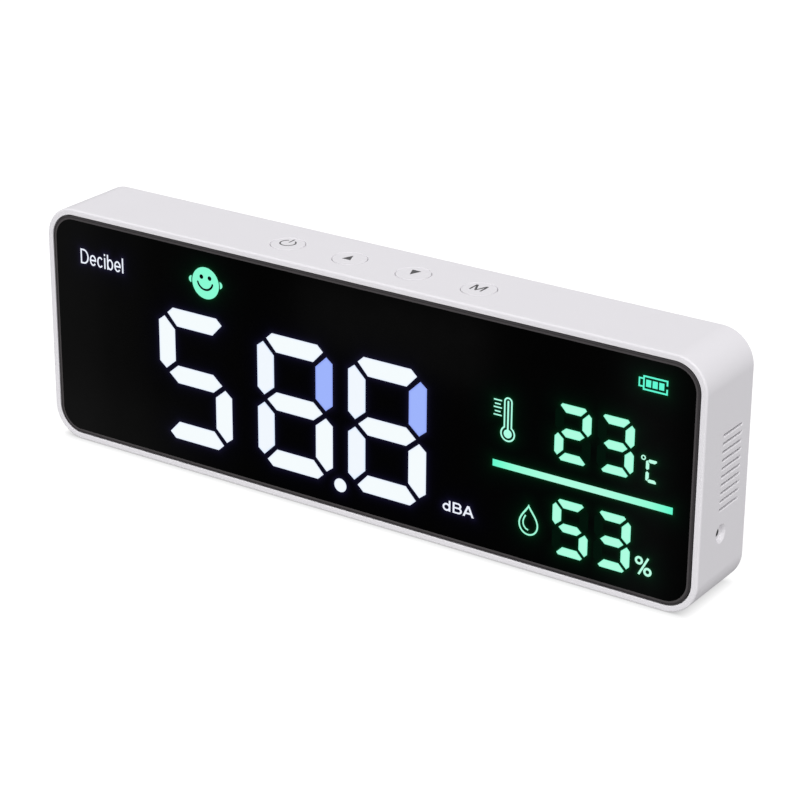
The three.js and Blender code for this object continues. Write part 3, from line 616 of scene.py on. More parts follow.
def screw_hole(spot):
    """A clearance hole with a flat-bottomed sink."""
    mouth = 0.15 * MM
    sink, hole, floor = 2.4 * MM, 1.4 * MM, BACK - 1.1 * MM
    start = COVER_FRONT - BEYOND
    profile = [(0, start), (hole, start), (hole, floor), (sink, floor)]
    profile += arc((sink + mouth, BACK - mouth), mouth, 180, 90, 3)
    profile += [(sink + mouth, BACK + BEYOND), (0, BACK + BEYOND)]
    return turned("screw_hole", profile, 48, on_axis("y", spot))


def back_shell():
    """The rear cover with its sunk screw holes, keyholes, charging port and buzzer grille."""
    chamfer = 0.15 * MM
    loops = [case_loop(PLATE_INSET + chamfer, COVER_FRONT)]
    loops.append(case_loop(PLATE_INSET, COVER_FRONT + chamfer))
    for inset, y in arc((PLATE_INSET + COVER_ROUND, BACK - COVER_ROUND), COVER_ROUND, 180, 90, 5):
        loops.append(case_loop(inset, y))
    cover = loft("back_shell", loops)
    posts, board_back = centres("main_board_screw", 4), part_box("main_board")[1].y
    start, end = board_back + OVERLAP, COVER_FRONT + OVERLAP
    combine(cover, [pin("y", spot, KEY_POST_RADIUS, start, end) for spot in posts], "UNION")

    port, buzzer = centre_of("usb_socket"), centre_of("buzzer")
    cuts = [screw_hole(spot) for spot in SCREW_SPOTS]
    cuts += [cover_cut(keyhole_outline, x, KEYHOLE_Z) for x in (-KEYHOLE_X, KEYHOLE_X)]
    cuts.append(cover_cut(port_outline, port.x, port.z))
    for x, z in [(0, 0)] + arc((0, 0), 3.4 * MM, 0, 300, 5):
        cuts.append(cover_cut(grille_outline, buzzer.x + x, buzzer.z + z, 0.12 * MM))
    cuts += [pin("y", spot, SCREW_BORE, board_back, COVER_FRONT - BEYOND) for spot in posts]
    combine(cover, cuts, "DIFFERENCE")
    return smooth(cover)


wear(front_shell(), "white_plastic", "case", "front_housing")
wear(back_shell(), "white_plastic", "case", "rear_cover")
# A black disk in the inlet stands for the shade deep in the hole.
wear(inlet_shade_disk(), "black_rubber", "case")


# ---------------- buttons

FLANGE_TOP = HIGH.z - WALL - 0.3 * MM
FLANGE_BOTTOM = FLANGE_TOP - 1.1 * MM


def key_cap(name):
    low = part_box(f"{name}_button")[0]
    stem, flange, edge, skirt = 2.4 * MM, 7.4 * MM, 0.16 * MM, 0.15 * MM
    profile = [
        (0, low.z),
        (stem, low.z),
        (stem, FLANGE_BOTTOM - skirt),
        (stem + skirt, FLANGE_BOTTOM),
        (flange - skirt, FLANGE_BOTTOM),
        (flange, FLANGE_BOTTOM + skirt),
        (flange, FLANGE_TOP - skirt),
        (flange - skirt, FLANGE_TOP),
        (CAP_RADIUS, FLANGE_TOP),
    ]
    profile += arc((CAP_RADIUS - edge, CAP_TOP - edge), edge, 0, 90, 5)
    profile.append((0, CAP_TOP))
    cap = turned(f"{name}_key", profile, 96, on_axis("z", BUTTON_SPOTS[name]))
    return smooth(cap)


def ribbon(points, width):
    """The outline of a stroke of even width along points in a plane."""
    left, right = [], []
    for index, (x, y) in enumerate(points):
        before = points[max(index - 1, 0)]
        after = points[min(index + 1, len(points) - 1)]
        dx, dy = after[0] - before[0], after[1] - before[1]
        length = math.hypot(dx, dy)
        nx, ny = -dy / length * width / 2, dx / length * width / 2
        left.append((x + nx, y + ny))
        right.append((x - nx, y - ny))
    return left + right[::-1]


def round_ribbon(points, width, steps=6):
    """A stroke of even width with round ends."""
    outline = ribbon(points, width)
    count = len(points)
    radius = width / 2
    ends = []
    for tip, beside in ((points[-1], points[-2]), (points[0], points[1])):
        heading = math.degrees(math.atan2(tip[1] - beside[1], tip[0] - beside[0]))
        ends.append(arc(tip, radius, heading + 90, heading - 90, steps)[1:-1])
    return outline[:count] + ends[0] + outline[count:] + ends[1]


def flat_shape(name, outlines, thickness):
    """Filled outlines, with those inside others as holes, in the XY plane and centred on it."""
    curve = bpy.data.curves.new(name, "CURVE")
    curve.dimensions = "2D"
    curve.fill_mode = "BOTH"
    curve.extrude = thickness / 2
    for outline in outlines:
        spline = curve.splines.new("POLY")
        spline.points.add(len(outline) - 1)
        for point, (x, y) in zip(spline.points, outline):
            point.co = (x, y, 0, 1)
        spline.use_cyclic_u = True
    made = add_object(name, curve)
    mesh = evaluated(made)
    bpy.data.objects.remove(made)
    return add_object(name, cleaned(mesh))


def power_symbol():
    ring, stroke, gap = 2.78 * MM, 0.55 * MM, 28
    circle_part = ribbon(arc((0, 0), ring, 90 + gap, 450 - gap, 40), stroke)
    half = stroke / 2
    stem = [(-half, 0.6 * MM), (half, 0.6 * MM), (half, 4.0 * MM), (-half, 4.0 * MM)]
    return [circle_part, stem]


def triangle_symbol(half_width, height):
    return [[(-half_width, -height / 2), (half_width, -height / 2), (0, height / 2)]]


def letter_m():
    half, height, stroke = 2.42 * MM, 5.0 * MM, 0.62 * MM
    up, down = height / 2, -height / 2
    dip = down + 0.3 * MM
    slant = 0.88 * MM
    return [[
        (-half, down), (-half + stroke, down), (-half + stroke, up - 1.5 * MM),
        (-stroke * 0.42, down), (stroke * 0.42, down), (half - stroke, up - 1.5 * MM),
        (half - stroke, down), (half, down), (half, up), (half - slant, up),
        (0, dip + 0.9 * MM), (-half + slant, up), (-half, up),
    ]]


SYMBOLS = {
    "power": power_symbol(),
    "up": triangle_symbol(1.75 * MM, 4.4 * MM),
    "down": [[(x, -y) for x, y in reversed(triangle_symbol(1.8 * MM, 4.4 * MM)[0])]],
    "mode": letter_m(),
}
PRINT_SHIFT = (-0.6 * MM, 0.8 * MM)
PRINT_SUNK = 0.02 * MM
PRINT_DEPTH = PRINT_TOP - CAP_TOP + PRINT_SUNK

for key in KEYS:
    wear(key_cap(key), "white_plastic", f"{key}_key", f"{key}_button")
    symbol = flat_shape(f"{key}_symbol", SYMBOLS[key], PRINT_DEPTH)
    spot = BUTTON_SPOTS[key]
    symbol.data.transform(Matrix.Translation(
        (spot.x + PRINT_SHIFT[0], spot.y + PRINT_SHIFT[1], PRINT_TOP - PRINT_DEPTH / 2)
    ))
    wear(symbol, "dark_print", f"{key}_key")


# ---------------- display drawing

WHITE_CORE = (0.91, 0.965, 0.985)
WHITE_EDGE = (0.80, 0.88, 1.0)
DIM_CORE = (0.88, 0.93, 0.99)
DIM_EDGE = (0.70, 0.82, 1.0)
VIOLET_CORE = (0.342, 0.456, 0.975)
VIOLET_EDGE = (0.28, 0.38, 0.92)
GREEN_CORE = (0.42, 0.98, 0.745)
GREEN_EDGE = (0.29, 0.98, 0.68)
DEEP_GREEN = (0.12, 0.96, 0.61)
LETTER_WHITE = (0.86, 0.90, 1.0)
# The bars that are not lit get a faint painted green glow.
UNLIT_PAINTED_GLOW = (0.0, 0.0055, 0.0022)
SYMBOL_GREEN = {
    "sound_face": (0.245, 0.97, 0.65),
    "battery_symbol": (0.12, 0.96, 0.66),
    "thermometer_symbol": (0.42, 1.0, 0.78),
    "drop_symbol": (0.36, 1.0, 0.72),
    "degree_mark": (0.50, 1.0, 0.78),
    "percent_mark": (0.50, 1.0, 0.78),
}
STAND_UP = Matrix.Rotation(QUARTER, 4, "X")

halo_edges = {"white": [], "green": []}


def at(x, y):
    """A point on the front from the case's left and top edges, in millimetres."""
    return (LOW.x + x * MM, HIGH.z - y * MM)


def edges_of(outline):
    return list(zip(outline, outline[1:] + outline[:1]))


def grown(outline, distance):
    """A convex outline with its edges moved outwards; a negative distance moves them in."""
    area = sum(a[0] * b[1] - b[0] * a[1] for a, b in edges_of(outline))
    turn = 1 if area > 0 else -1
    lines = []
    for a, b in edges_of(outline):
        dx, dy = b[0] - a[0], b[1] - a[1]
        length = math.hypot(dx, dy)
        nx, ny = turn * dy / length, -turn * dx / length
        lines.append((nx, ny, nx * a[0] + ny * a[1] + distance))
    moved = []
    for first, second in zip(lines[-1:] + lines[:-1], lines):
        cross = first[0] * second[1] - second[0] * first[1]
        x = (first[2] * second[1] - second[2] * first[1]) / cross
        y = (first[0] * second[2] - second[0] * first[2]) / cross
        moved.append((x, y))
    return moved


def remember_light(outlines, tone):
    for outline in outlines:
        halo_edges[tone] += edges_of(outline)


def light_up(mesh, attribute, colours):
    """Stores the light of a mesh's points: one colour, or one for each point."""
    values = np.ones((len(mesh.vertices), 4), dtype=np.float32)
    values[:, :3] = colours
    stored = mesh.color_attributes.new(attribute, "FLOAT_COLOR", "POINT")
    stored.data.foreach_set("color", values.ravel())


def plates(name, bars, slot, tone=None, front=PLATE_FRONT):
    """Thin plates on the panel. Each bar is (outline, edge colour, core colour, fade width)."""
    points, faces, colours = [], [], []
    for outline, edge, core, fade in bars:
        start, count = len(points), len(outline)
        top = start + 2 * count
        inner = grown(outline, -fade)
        for ring, depth in ((outline, PLATE_BACK), (outline, front), (inner, front)):
            points += [(x, depth, z) for x, z in ring]
        colours += [edge] * (2 * count) + [core] * count
        faces += band(start, start + count, count) + band(start + count, top, count)
        faces.append(tuple(range(top, top + count)))
        faces.append(tuple(reversed(range(start, start + count))))
        if tone:
            remember_light([outline], tone)
    mesh = cleaned(new_mesh(name, points, faces), merge=None)
    light_up(mesh, "light", colours)
    wear(add_object(name, mesh), slot, "case")


def drawing(name, outlines, slot, colour, tone, glowing=None):
    """A flat shape with holes on the panel, in one colour, with a halo round what glows."""
    depth = PLATE_BACK - PLATE_FRONT
    made = flat_shape(name, outlines, depth)
    made.data.transform(Matrix.Translation((0, PLATE_FRONT + depth / 2, 0)) @ STAND_UP)
    light_up(made.data, "light", colour)
    remember_light(outlines if glowing is None else glowing, tone)
    wear(made, slot, "case")


def green_symbol(name, outlines, glowing=None):
    drawing(name, outlines, "lit_green", SYMBOL_GREEN[name], "green", glowing)


def digit_bars(width, height, top, side, middle):
    """The seven bars of a digit by letter, in millimetres right and down from its corner."""
    def upside_down(bar):
        return [(x, height - y) for x, y in bar]

    right = [(width - x, y) for x, y in side]
    return {
        "a": top, "b": right, "c": upside_down(right), "d": upside_down(top),
        "e": upside_down(side), "f": side, "g": middle,
    }


BIG = digit_bars(
    32.2,
    50.4,
    top=[(4.0, 2.23), (6.4, 0), (25.8, 0), (28.2, 2.23), (24.0, 6.75), (8.2, 6.75)],
    side=[(2.6, 3.75), (7.17, 8.2), (7.17, 20.2), (2.9, 23.8), (0, 21.4), (0, 5.75)],
    middle=[(4.25, 25.2), (8.2, 21.8), (24.0, 21.8), (27.95, 25.2), (24.0, 28.55), (8.2, 28.55)],
)
SMALL = digit_bars(
    13.6,
    20.2,
    top=[(1.9, 0.77), (2.6, 0), (11.0, 0), (11.7, 0.77), (9.55, 3.0), (4.05, 3.0)],
    side=[(1.1, 1.63), (3.32, 3.85), (3.32, 7.75), (1.2, 9.55), (0, 8.25), (0, 2.75)],
    middle=[(2.45, 10.1), (4.2, 8.55), (9.4, 8.55), (11.15, 10.1), (9.4, 11.65), (4.2, 11.65)],
)
BIG_TOP = 28.0
BIG_READING = ((50.75, "afgcd", ""), (94.45, "abcdefg", "b"), (133.2, "abcdefg", "b"))
SMALL_READING = (
    ("temperature", 26.2, ((215.4, "abged"), (231.3, "abgcd"))),
    ("humidity", 60.3, ((215.5, "afgcd"), (231.35, "abgcd"))),
)


def placed(points, left=0, top=0):
    return [at(left + x, top + y) for x, y in points]


def big_digits():
    violet = []
    for index, (left, lit, dim) in enumerate(BIG_READING):
        shapes = []
        for letter, bar in BIG.items():
            outline = placed(bar, left, BIG_TOP)
            if letter in dim:
                violet.append((outline, VIOLET_EDGE, VIOLET_CORE, 0.9 * MM))
            elif letter in lit:
                bluish = index > 0 and letter in "ef"
                edge, core = (DIM_EDGE, DIM_CORE) if bluish else (WHITE_EDGE, WHITE_CORE)
                shapes.append((outline, edge, core, 0.8 * MM))
        plates(f"sound_digit_{index + 1}", shapes, "lit_white", "white")
    plates("sound_dim_bars", violet, "lit_violet", "white")
    dot = arc(at(129.85, 78.4), 2.55 * MM, 0, 360, 48)[:-1]
    plates("sound_point", [(dot, WHITE_EDGE, WHITE_CORE, 0.7 * MM)], "lit_white", "white")


def small_digits():
    unlit = []
    for row, top, digits in SMALL_READING:
        for index, (left, lit) in enumerate(digits):
            shapes = []
            for letter, bar in SMALL.items():
                outline = placed(bar, left, top)
                if letter in lit:
                    shapes.append((outline, GREEN_EDGE, GREEN_CORE, 0.5 * MM))
                else:
                    unlit.append((outline, UNLIT_PAINTED_GLOW, UNLIT_PAINTED_GLOW, 0.5 * MM))
            plates(f"{row}_digit_{index + 1}", shapes, "lit_green", "green")
    # The unlit bars shine with their faint painted glow.
    plates("unlit_bars", unlit, "lit_green", front=UNLIT_FRONT)


def ellipse(centre, half_x, half_y, start, end, steps=24):
    turn = arc((0, 0), 1, start, end, steps)
    return [(centre[0] + half_x * x, centre[1] + half_y * y) for x, y in turn]


def circle(x, y, radius, steps=40):
    return arc(at(x, y), radius * MM, 0, 360, steps)[:-1]


def strip(points, width):
    return ribbon(placed(points), width * MM)


def box_outline(left, top, right, bottom):
    return placed([(left, bottom), (right, bottom), (right, top), (left, top)])


def sound_face():
    """A round face with two ears, as on a comfort scale."""
    middle_x, middle_y, radius = 72.25, 15.62, 5.88
    gap = 0.45
    shapes = [circle(middle_x, middle_y, radius, 72)]
    for side in (-1, 1):
        shapes.append(circle(middle_x + side * 1.8, middle_y - 2.1, 0.85, 24))
    smile = arc((middle_x - 0.2, middle_y - 0.85), 3.36, 16, 164, 24)
    shapes.append(round_ribbon(placed(smile), 0.82 * MM))
    for side in (-1, 1):
        start = -180 if side > 0 else 0
        outside = []
        for x, y in arc((middle_x + side * 6.05, middle_y - 0.4), 1.32, start, start + 360, 48):
            if math.hypot(x - middle_x, y - middle_y) >= radius + gap:
                outside.append((x, y))
        ends = []
        for x, y in (outside[-1], outside[0]):
            end = math.degrees(math.atan2(y - middle_y, x - middle_x))
            ends.append(end % 360 if side < 0 else end)
        inner = arc((middle_x, middle_y), radius + gap, *ends, 10)
        shapes.append(placed(outside + inner[1:-1]))
    dark = shapes[1:4]
    glowing = [shape for shape in shapes if shape not in dark]
    green_symbol("sound_face", shapes, glowing)


def battery_symbol():
    """A cell with three bars of charge, open where its outline is broken."""
    left, top, right, bottom, stroke = 247.04, 9.57, 255.99, 14.57, 0.56
    notch_top, notch_bottom = 11.47, 12.62
    shell = placed((
        (right, notch_top), (right, top), (left, top), (left, bottom), (right, bottom),
        (right, notch_bottom), (right - stroke, notch_bottom), (right - stroke, bottom - stroke),
        (left + stroke, bottom - stroke), (left + stroke, top + stroke),
        (right - stroke, top + stroke), (right - stroke, notch_top),
    ))
    nub_left, nub_right, nub_top, nub_bottom, thin = 245.44, left - 0.02, 10.47, 13.67, 0.5
    nub = placed((
        (nub_right, nub_top), (nub_left, nub_top), (nub_left, nub_bottom),
        (nub_right, nub_bottom), (nub_right, nub_bottom - thin),
        (nub_left + thin, nub_bottom - thin), (nub_left + thin, nub_top + thin),
        (nub_right, nub_top + thin),
    ))
    shapes = [shell, nub]
    for index in range(3):
        bar = 248.14 + index * 2.35
        shapes.append(box_outline(bar, 10.87, bar + 1.8, 13.27))
    green_symbol("battery_symbol", shapes)


def thermometer_outline(stem, bulb, top, middle, bulb_y):
    """A stem with a round top that runs into a round bulb."""
    joint = math.sqrt(bulb ** 2 - stem ** 2)
    turn = math.degrees(math.atan2(joint, stem))
    cap = arc((middle, top + stem), stem, 180, 360, 16)
    bowl = arc((middle, bulb_y), bulb, -turn, 180 + turn, 40)
    return placed(cap + bowl)


def thermometer():
    middle, bulb_y, stroke = 197.46, 42.17, 0.56
    stem, bulb, top = 1.64, 2.86, 29.12
    shapes = [
        thermometer_outline(stem, bulb, top, middle, bulb_y),
        thermometer_outline(stem - stroke, bulb - stroke, top + stroke, middle, bulb_y),
        thermometer_outline(0.33, 1.55, 30.3, middle, bulb_y),
    ]
    shapes += [strip([(191.86, y), (195.0, y)], 0.46) for y in (30.89, 33.52, 36.22)]
    shapes += [strip([(192.3, y), (194.5, y)], 0.46) for y in (32.27, 34.92)]
    green_symbol("thermometer_symbol", shapes)


def drop_outline(half_width, apex, widest, bottom, middle):
    """A drop: two curves from the apex, and a round bottom."""
    right = []
    for step in range(13):
        share = step / 12
        swell = math.sin(share * QUARTER) ** 1.25
        right.append((half_width * swell, apex + (widest - apex) * share))
    bowl = ellipse((0, widest), half_width, bottom - widest, 10, 170, 16)
    left = [(-x, y) for x, y in reversed(right[1:])]
    return placed(right + bowl + left, middle, 0)


def drop():
    stroke, middle = 0.56, 206.32
    glint = [(-1.15, 69.62), (-1.7, 70.72), (-2.05, 71.92), (-2.0, 72.92), (-1.65, 73.82),
             (-0.95, 74.52), (0.0, 74.87)]
    shapes = [
        drop_outline(3.83, 65.42, 72.82, 76.82, middle),
        drop_outline(3.83 - stroke, 65.42 + 2.1 * stroke, 72.82, 76.82 - stroke, middle),
        strip([(middle + x, y) for x, y in glint], 0.5),
    ]
    green_symbol("drop_symbol", shapes)


def degree_mark():
    """A small ring and a C of four bars, the lower two mirrored from the upper."""
    left, right, top, bottom, stroke, gap = 249.52, 253.22, 37.9, 46.0, 1.17, 0.45
    middle, half = (top + bottom) / 2, stroke / 2
    level = placed((
        (left + 0.55, top + half), (left + 1.1, top), (right, top), (right + 0.1, top + half),
        (right - 0.6, top + stroke), (left + 1.2, top + stroke),
    ))
    upright = placed((
        (left + half - 0.2, top + gap), (left + stroke - 0.1, top + stroke + gap),
        (left + stroke - 0.1, middle - gap - 0.3), (left + half - 0.2, middle - gap / 2),
        (left - 0.1, middle - gap - 0.3), (left - 0.1, top + gap + 0.4),
    ))
    mirror = 2 * at(0, middle)[1]
    shapes = [circle(248.42, 37.7, 0.87), circle(248.42, 37.7, 0.46), level, upright]
    shapes += [[(x, mirror - z) for x, z in reversed(bar)] for bar in (upright, level)]
    green_symbol("degree_mark", shapes)


def percent_mark():
    shapes = []
    for x, y, radius, hole in ((248.45, 74.25, 1.5, 0.68), (251.75, 77.67, 1.55, 0.7)):
        shapes += [circle(x, y, radius), circle(x, y, hole)]
    shapes.append(strip([(251.85, 72.8), (248.5, 79.2)], 0.75))
    green_symbol("percent_mark", shapes)


def divider():
    """The long bar between the two small readings, deeper in colour at its ends."""
    left, right, top, bottom = 191.9, 259.8, 52.5, 54.93
    columns = 24
    stops = (
        (0, DEEP_GREEN), (0.12, GREEN_EDGE), (0.35, GREEN_CORE), (0.62, GREEN_CORE),
        (0.88, GREEN_EDGE), (1, DEEP_GREEN),
    )
    corners = ((top, PLATE_BACK), (top, PLATE_FRONT), (bottom, PLATE_FRONT), (bottom, PLATE_BACK))
    places, tones = zip(*stops)
    loops, colours = [], []
    for column in range(columns + 1):
        share = column / columns
        colour = [np.interp(share, places, channel) for channel in zip(*tones)]
        colours += [colour] * len(corners)
        loops.append([])
        for y, depth in corners:
            x, z = at(left + (right - left) * share, y)
            loops[-1].append((x, depth, z))
    made = loft("divider_bar", loops)
    light_up(made.data, "light", colours)
    remember_light([box_outline(left, top, right, bottom)], "green")
    wear(made, "lit_green", "case")


def bar_glyph(left, right, low, high):
    return [(left, low), (right, low), (right, high), (left, high)]


def bowl_sizes(left, right, height, stroke):
    """The centre of a round stroke, and the half sizes of its outer and inner edges."""
    outer = (right - left) / 2, height / 2
    return ((left + right) / 2, height / 2), outer, (outer[0] - stroke, outer[1] - stroke)


def glyph_e(left, right, height, stroke):
    """A bowl with a crossbar: the outline, then the closed upper half."""
    centre, outer, inner = bowl_sizes(left, right, height, stroke)
    rise = math.degrees(math.asin(stroke / 2 / inner[1]))
    fall = math.degrees(math.asin(stroke / 2 / outer[1]))
    outline = ellipse(centre, *outer, -fall, 322, 40)
    outline += ellipse(centre, *inner, 322, 180 + rise, 20)
    return [outline, ellipse(centre, *inner, rise, 180 - rise)]


def glyph_c(left, right, height, stroke):
    centre, outer, inner = bowl_sizes(left, right, height, stroke)
    return [ellipse(centre, *outer, 40, 320, 40) + ellipse(centre, *inner, 320, 40, 40)]


def glyph_b(left, right, height, top, stroke):
    """A tall stem on the left with a bowl."""
    centre, outer, inner = bowl_sizes(left, right, height, stroke)
    stem = left + stroke
    reach = math.degrees(math.acos((stem - centre[0]) / outer[0]))
    bowl = ellipse(centre, *outer, reach, -reach, 40)
    outline = [(left, 0), (left, top), (stem, top), *bowl, (stem, 0)]
    return [outline, ellipse(centre, *inner, 0, 360, 40)[:-1]]


def mirrored(outlines, left, right):
    return [[(left + right - x, y) for x, y in outline] for outline in outlines]


def bowl_glyph(left, right, low, high, stroke, thin):
    """Half a round form on a straight back, and the hollow in it."""
    def half(shrink, thinner):
        half_y = (high - low) / 2 - thinner
        turn_x = min((right - left) * 0.62, (high - low) * 0.62) - shrink
        middle = (low + high) / 2
        curve = ellipse((right - shrink - turn_x, middle), turn_x, half_y, -90, 90)
        return [(left + shrink, middle - half_y), *curve, (left + shrink, middle + half_y)]
    return [half(0, 0), half(stroke, thin)]


def glyph_A(left, right, height, stroke):
    middle = (left + right) / 2
    foot = stroke * 1.12
    peak = stroke * 0.62
    slope = (right - middle - peak) / height
    bar_low, bar_high = height * 0.24, height * 0.24 + stroke * 0.85
    inside_low = left + foot + slope * bar_low
    inside_high = left + foot + slope * bar_high
    tip = (middle - left - foot) / slope
    outline = [
        (left, 0), (left + foot, 0), (inside_low, bar_low), (left + right - inside_low, bar_low),
        (right - foot, 0), (right, 0), (middle + peak, height), (middle - peak, height),
    ]
    hollow = [
        (inside_high, bar_high), (left + right - inside_high, bar_high),
        (middle, min(tip, height - 0.6)),
    ]
    return [outline, hollow]


def lettering(name, glyphs, left, baseline):
    """Plain lettering, from glyphs in millimetres right and up from the start of its baseline."""
    outlines = [[at(left + x, baseline - y) for x, y in outline] for outline in glyphs]
    drawing(name, outlines, "lit_white", LETTER_WHITE, "white")


def sound_label():
    """The word Decibel."""
    cap, low_case, stroke = 5.65, 4.15, 0.58
    glyphs = bowl_glyph(0, 3.72, 0, cap, stroke, stroke)
    glyphs += glyph_e(4.25, 7.2, low_case, stroke)
    glyphs += glyph_c(7.7, 10.45, low_case, stroke)
    glyphs += [bar_glyph(10.95, 11.53, 0, low_case), bar_glyph(10.95, 11.53, cap - 0.75, cap)]
    glyphs += glyph_b(12.3, 15.1, low_case, cap, stroke)
    glyphs += glyph_e(15.65, 18.6, low_case, stroke)
    glyphs.append(bar_glyph(19.2, 19.8, 0, cap))
    lettering("sound_label", glyphs, 15.2, 19.8)


def unit_label():
    """The letters dBA."""
    cap, low_case, stroke, thin = 4.0, 2.9, 0.72, 0.56
    glyphs = mirrored(glyph_b(0, 3.1, low_case, cap, 0.64), 0, 3.1)
    waist = cap * 0.52
    lower = bowl_glyph(4.05, 7.75, 0, waist + thin / 2, stroke, thin)
    upper = bowl_glyph(4.05, 7.5, waist - thin / 2, cap, stroke, thin)
    below = [spot for spot in lower[0] if spot[1] <= waist]
    above = [spot for spot in upper[0] if spot[1] > waist]
    glyphs += [below + above, lower[1], upper[1]]
    glyphs += glyph_A(8.05, 12.5, cap, stroke)
    lettering("unit_label", glyphs, 172.35, 76.42)


big_digits()
small_digits()
sound_face()
battery_symbol()
thermometer()
drop()
degree_mark()
percent_mark()
divider()
sound_label()
unit_label()


# ---------------- panel

PANEL_COLUMNS = 440
PANEL_ROWS = 112
PANEL_CORNER_ROWS = 12
HALO_REACH = 12 * MM


def distances(spots, edges):
    """The distance from each spot to the nearest edge."""
    nearest = np.full(len(spots), 1.0)
    for (ax, ay), (bx, by) in edges:
        close = (
            (spots[:, 0] > min(ax, bx) - HALO_REACH) & (spots[:, 0] < max(ax, bx) + HALO_REACH)
            & (spots[:, 1] > min(ay, by) - HALO_REACH) & (spots[:, 1] < max(ay, by) + HALO_REACH)
        )
        part = spots[close]
        along = np.array((bx - ax, by - ay))
        length = max(along @ along, 1e-18)
        share = np.clip(((part - (ax, ay)) @ along) / length, 0, 1)
        away = np.linalg.norm(part - (ax, ay) - share[:, None] * along, axis=1)
        nearest[close] = np.minimum(nearest[close], away)
    return nearest


# Each part of a glow is the distance over which it fades, and its colour at the edge.
WHITE_HALO = (
    (0.9 * MM, (0.0065, 0.0055, 0.0)), (0.75 * MM, (0.0, 0.0, 0.020)), (3 * MM, (0.0, 0.0, 0.003)),
)
GREEN_HALO = (
    (0.4 * MM, (0.0, 0.026, 0.0055)), (2.8 * MM, (0.0, 0.0055, 0.0)), (3.5 * MM, (0.0, 0.0, 0.002)),
)


def halo_colours(spots):
    """The glow of the lit shapes in the panel round them, fading with distance."""
    glow = np.zeros((len(spots), 3))
    for tone, halo in (("white", WHITE_HALO), ("green", GREEN_HALO)):
        away = distances(spots, halo_edges[tone])[:, None]
        for length, colour in halo:
            glow += np.exp(-away / length) * np.array(colour)
    return glow


def panel_rows(radius, flat_z):
    """The height of each row of the grid, and the angle of the outline at its right end."""
    rows = []
    for step in range(PANEL_CORNER_ROWS + 1):
        angle = -QUARTER + QUARTER * step / PANEL_CORNER_ROWS
        rows.append((-flat_z + radius * math.sin(angle), angle))
    upper = [(-z, -angle) for z, angle in reversed(rows)]
    for step in range(1, PANEL_ROWS):
        rows.append((-flat_z + 2 * flat_z * step / PANEL_ROWS, 0.0))
    return rows + upper


def panel():
    """The smoked panel: a fine grid that holds the glow, and a dark border with a soft edge."""
    inset = PLATE_INSET + BORDER_WIDTH
    radius = CORNER_RADIUS - inset
    flat_x = WIDTH / 2 - inset - radius
    rows = panel_rows(radius, HEIGHT / 2 - inset - radius)
    points = []
    for z, angle in rows:
        half = flat_x + radius * math.cos(angle)
        for column in range(PANEL_COLUMNS + 1):
            share = 2 * column / PANEL_COLUMNS - 1
            points.append((half * share, PANEL_FRONT, MIDDLE + z))
    wide = PANEL_COLUMNS + 1
    faces, looks = [], []
    for row in range(len(rows) - 1):
        for column in range(PANEL_COLUMNS):
            here = row * wide + column
            faces.append((here, here + 1, here + wide + 1, here + wide))
            looks.append(0)
    last = (len(rows) - 1) * wide
    sides = [(row * wide, math.cos(angle), math.sin(angle)) for row, (_, angle) in enumerate(rows)]
    rim = [(column, 0.0, -1.0) for column in range(PANEL_COLUMNS)]
    rim += [(start + PANEL_COLUMNS, nx, nz) for start, nx, nz in sides[:-1]]
    rim += [(last + column, 0.0, 1.0) for column in range(PANEL_COLUMNS, 0, -1)]
    rim += [(start, -nx, nz) for start, nx, nz in sides[:0:-1]]
    lens_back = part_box("display_lens")[1].y
    edge = 0.2 * MM
    # The first band wears the border grey, and the rest wears its darker copy with painted shade.
    steps = [
        (0.62 * MM, PANEL_FRONT, 1),
        (BORDER_WIDTH - edge, PANEL_FRONT, 2),
        (BORDER_WIDTH - edge * 0.3, PANEL_FRONT + edge * 0.3, 2),
        (BORDER_WIDTH, PANEL_FRONT + edge, 2),
        (BORDER_WIDTH, lens_back, 2),
    ]
    before = [index for index, _, _ in rim]
    for out, depth, look in steps:
        start = len(points)
        for index, nx, nz in rim:
            x, _, z = points[index]
            points.append((x + nx * out, depth, z + nz * out))
        now = list(range(start, start + len(rim)))
        for column in range(len(rim)):
            after = (column + 1) % len(rim)
            faces.append((before[column], before[after], now[after], now[column]))
            looks.append(look)
        before = now
    faces.append(tuple(before))
    looks.append(2)
    mesh = new_mesh("display_panel", points, faces)
    mesh.polygons.foreach_set("material_index", looks)
    grid = len(rows) * wide
    colours = np.zeros((len(points), 3))
    colours[:grid] = halo_colours(np.array(points)[:grid][:, (0, 2)])
    light_up(mesh, "halo", colours)
    for look in ("smoked_panel", "border_inner", "shaded_border_outer"):
        mesh.materials.append(FINISH[look])
    return add_object("display_panel", cleaned(mesh, merge=None))


wear(panel(), "smoked_panel", "case", "display_lens")


# ---------------- screws and charging socket


def cross_recess(size, floor, top):
    """Two crossed wedges that narrow towards the floor of the recess."""
    tools = []
    for turn in (0, 1):
        loops = []
        for height, share in ((floor, 0.45), (top, 1.0)):
            length, width = size * share, size * 0.2 * (0.6 + 0.4 * share)
            corners = [(-length, -width), (length, -width), (length, width), (-length, width)]
            if turn:
                corners = [(-y, x) for x, y in corners]
            loops.append([(x, y, height) for x, y in corners])
        tools.append(loft("wedge", loops))
    return tools


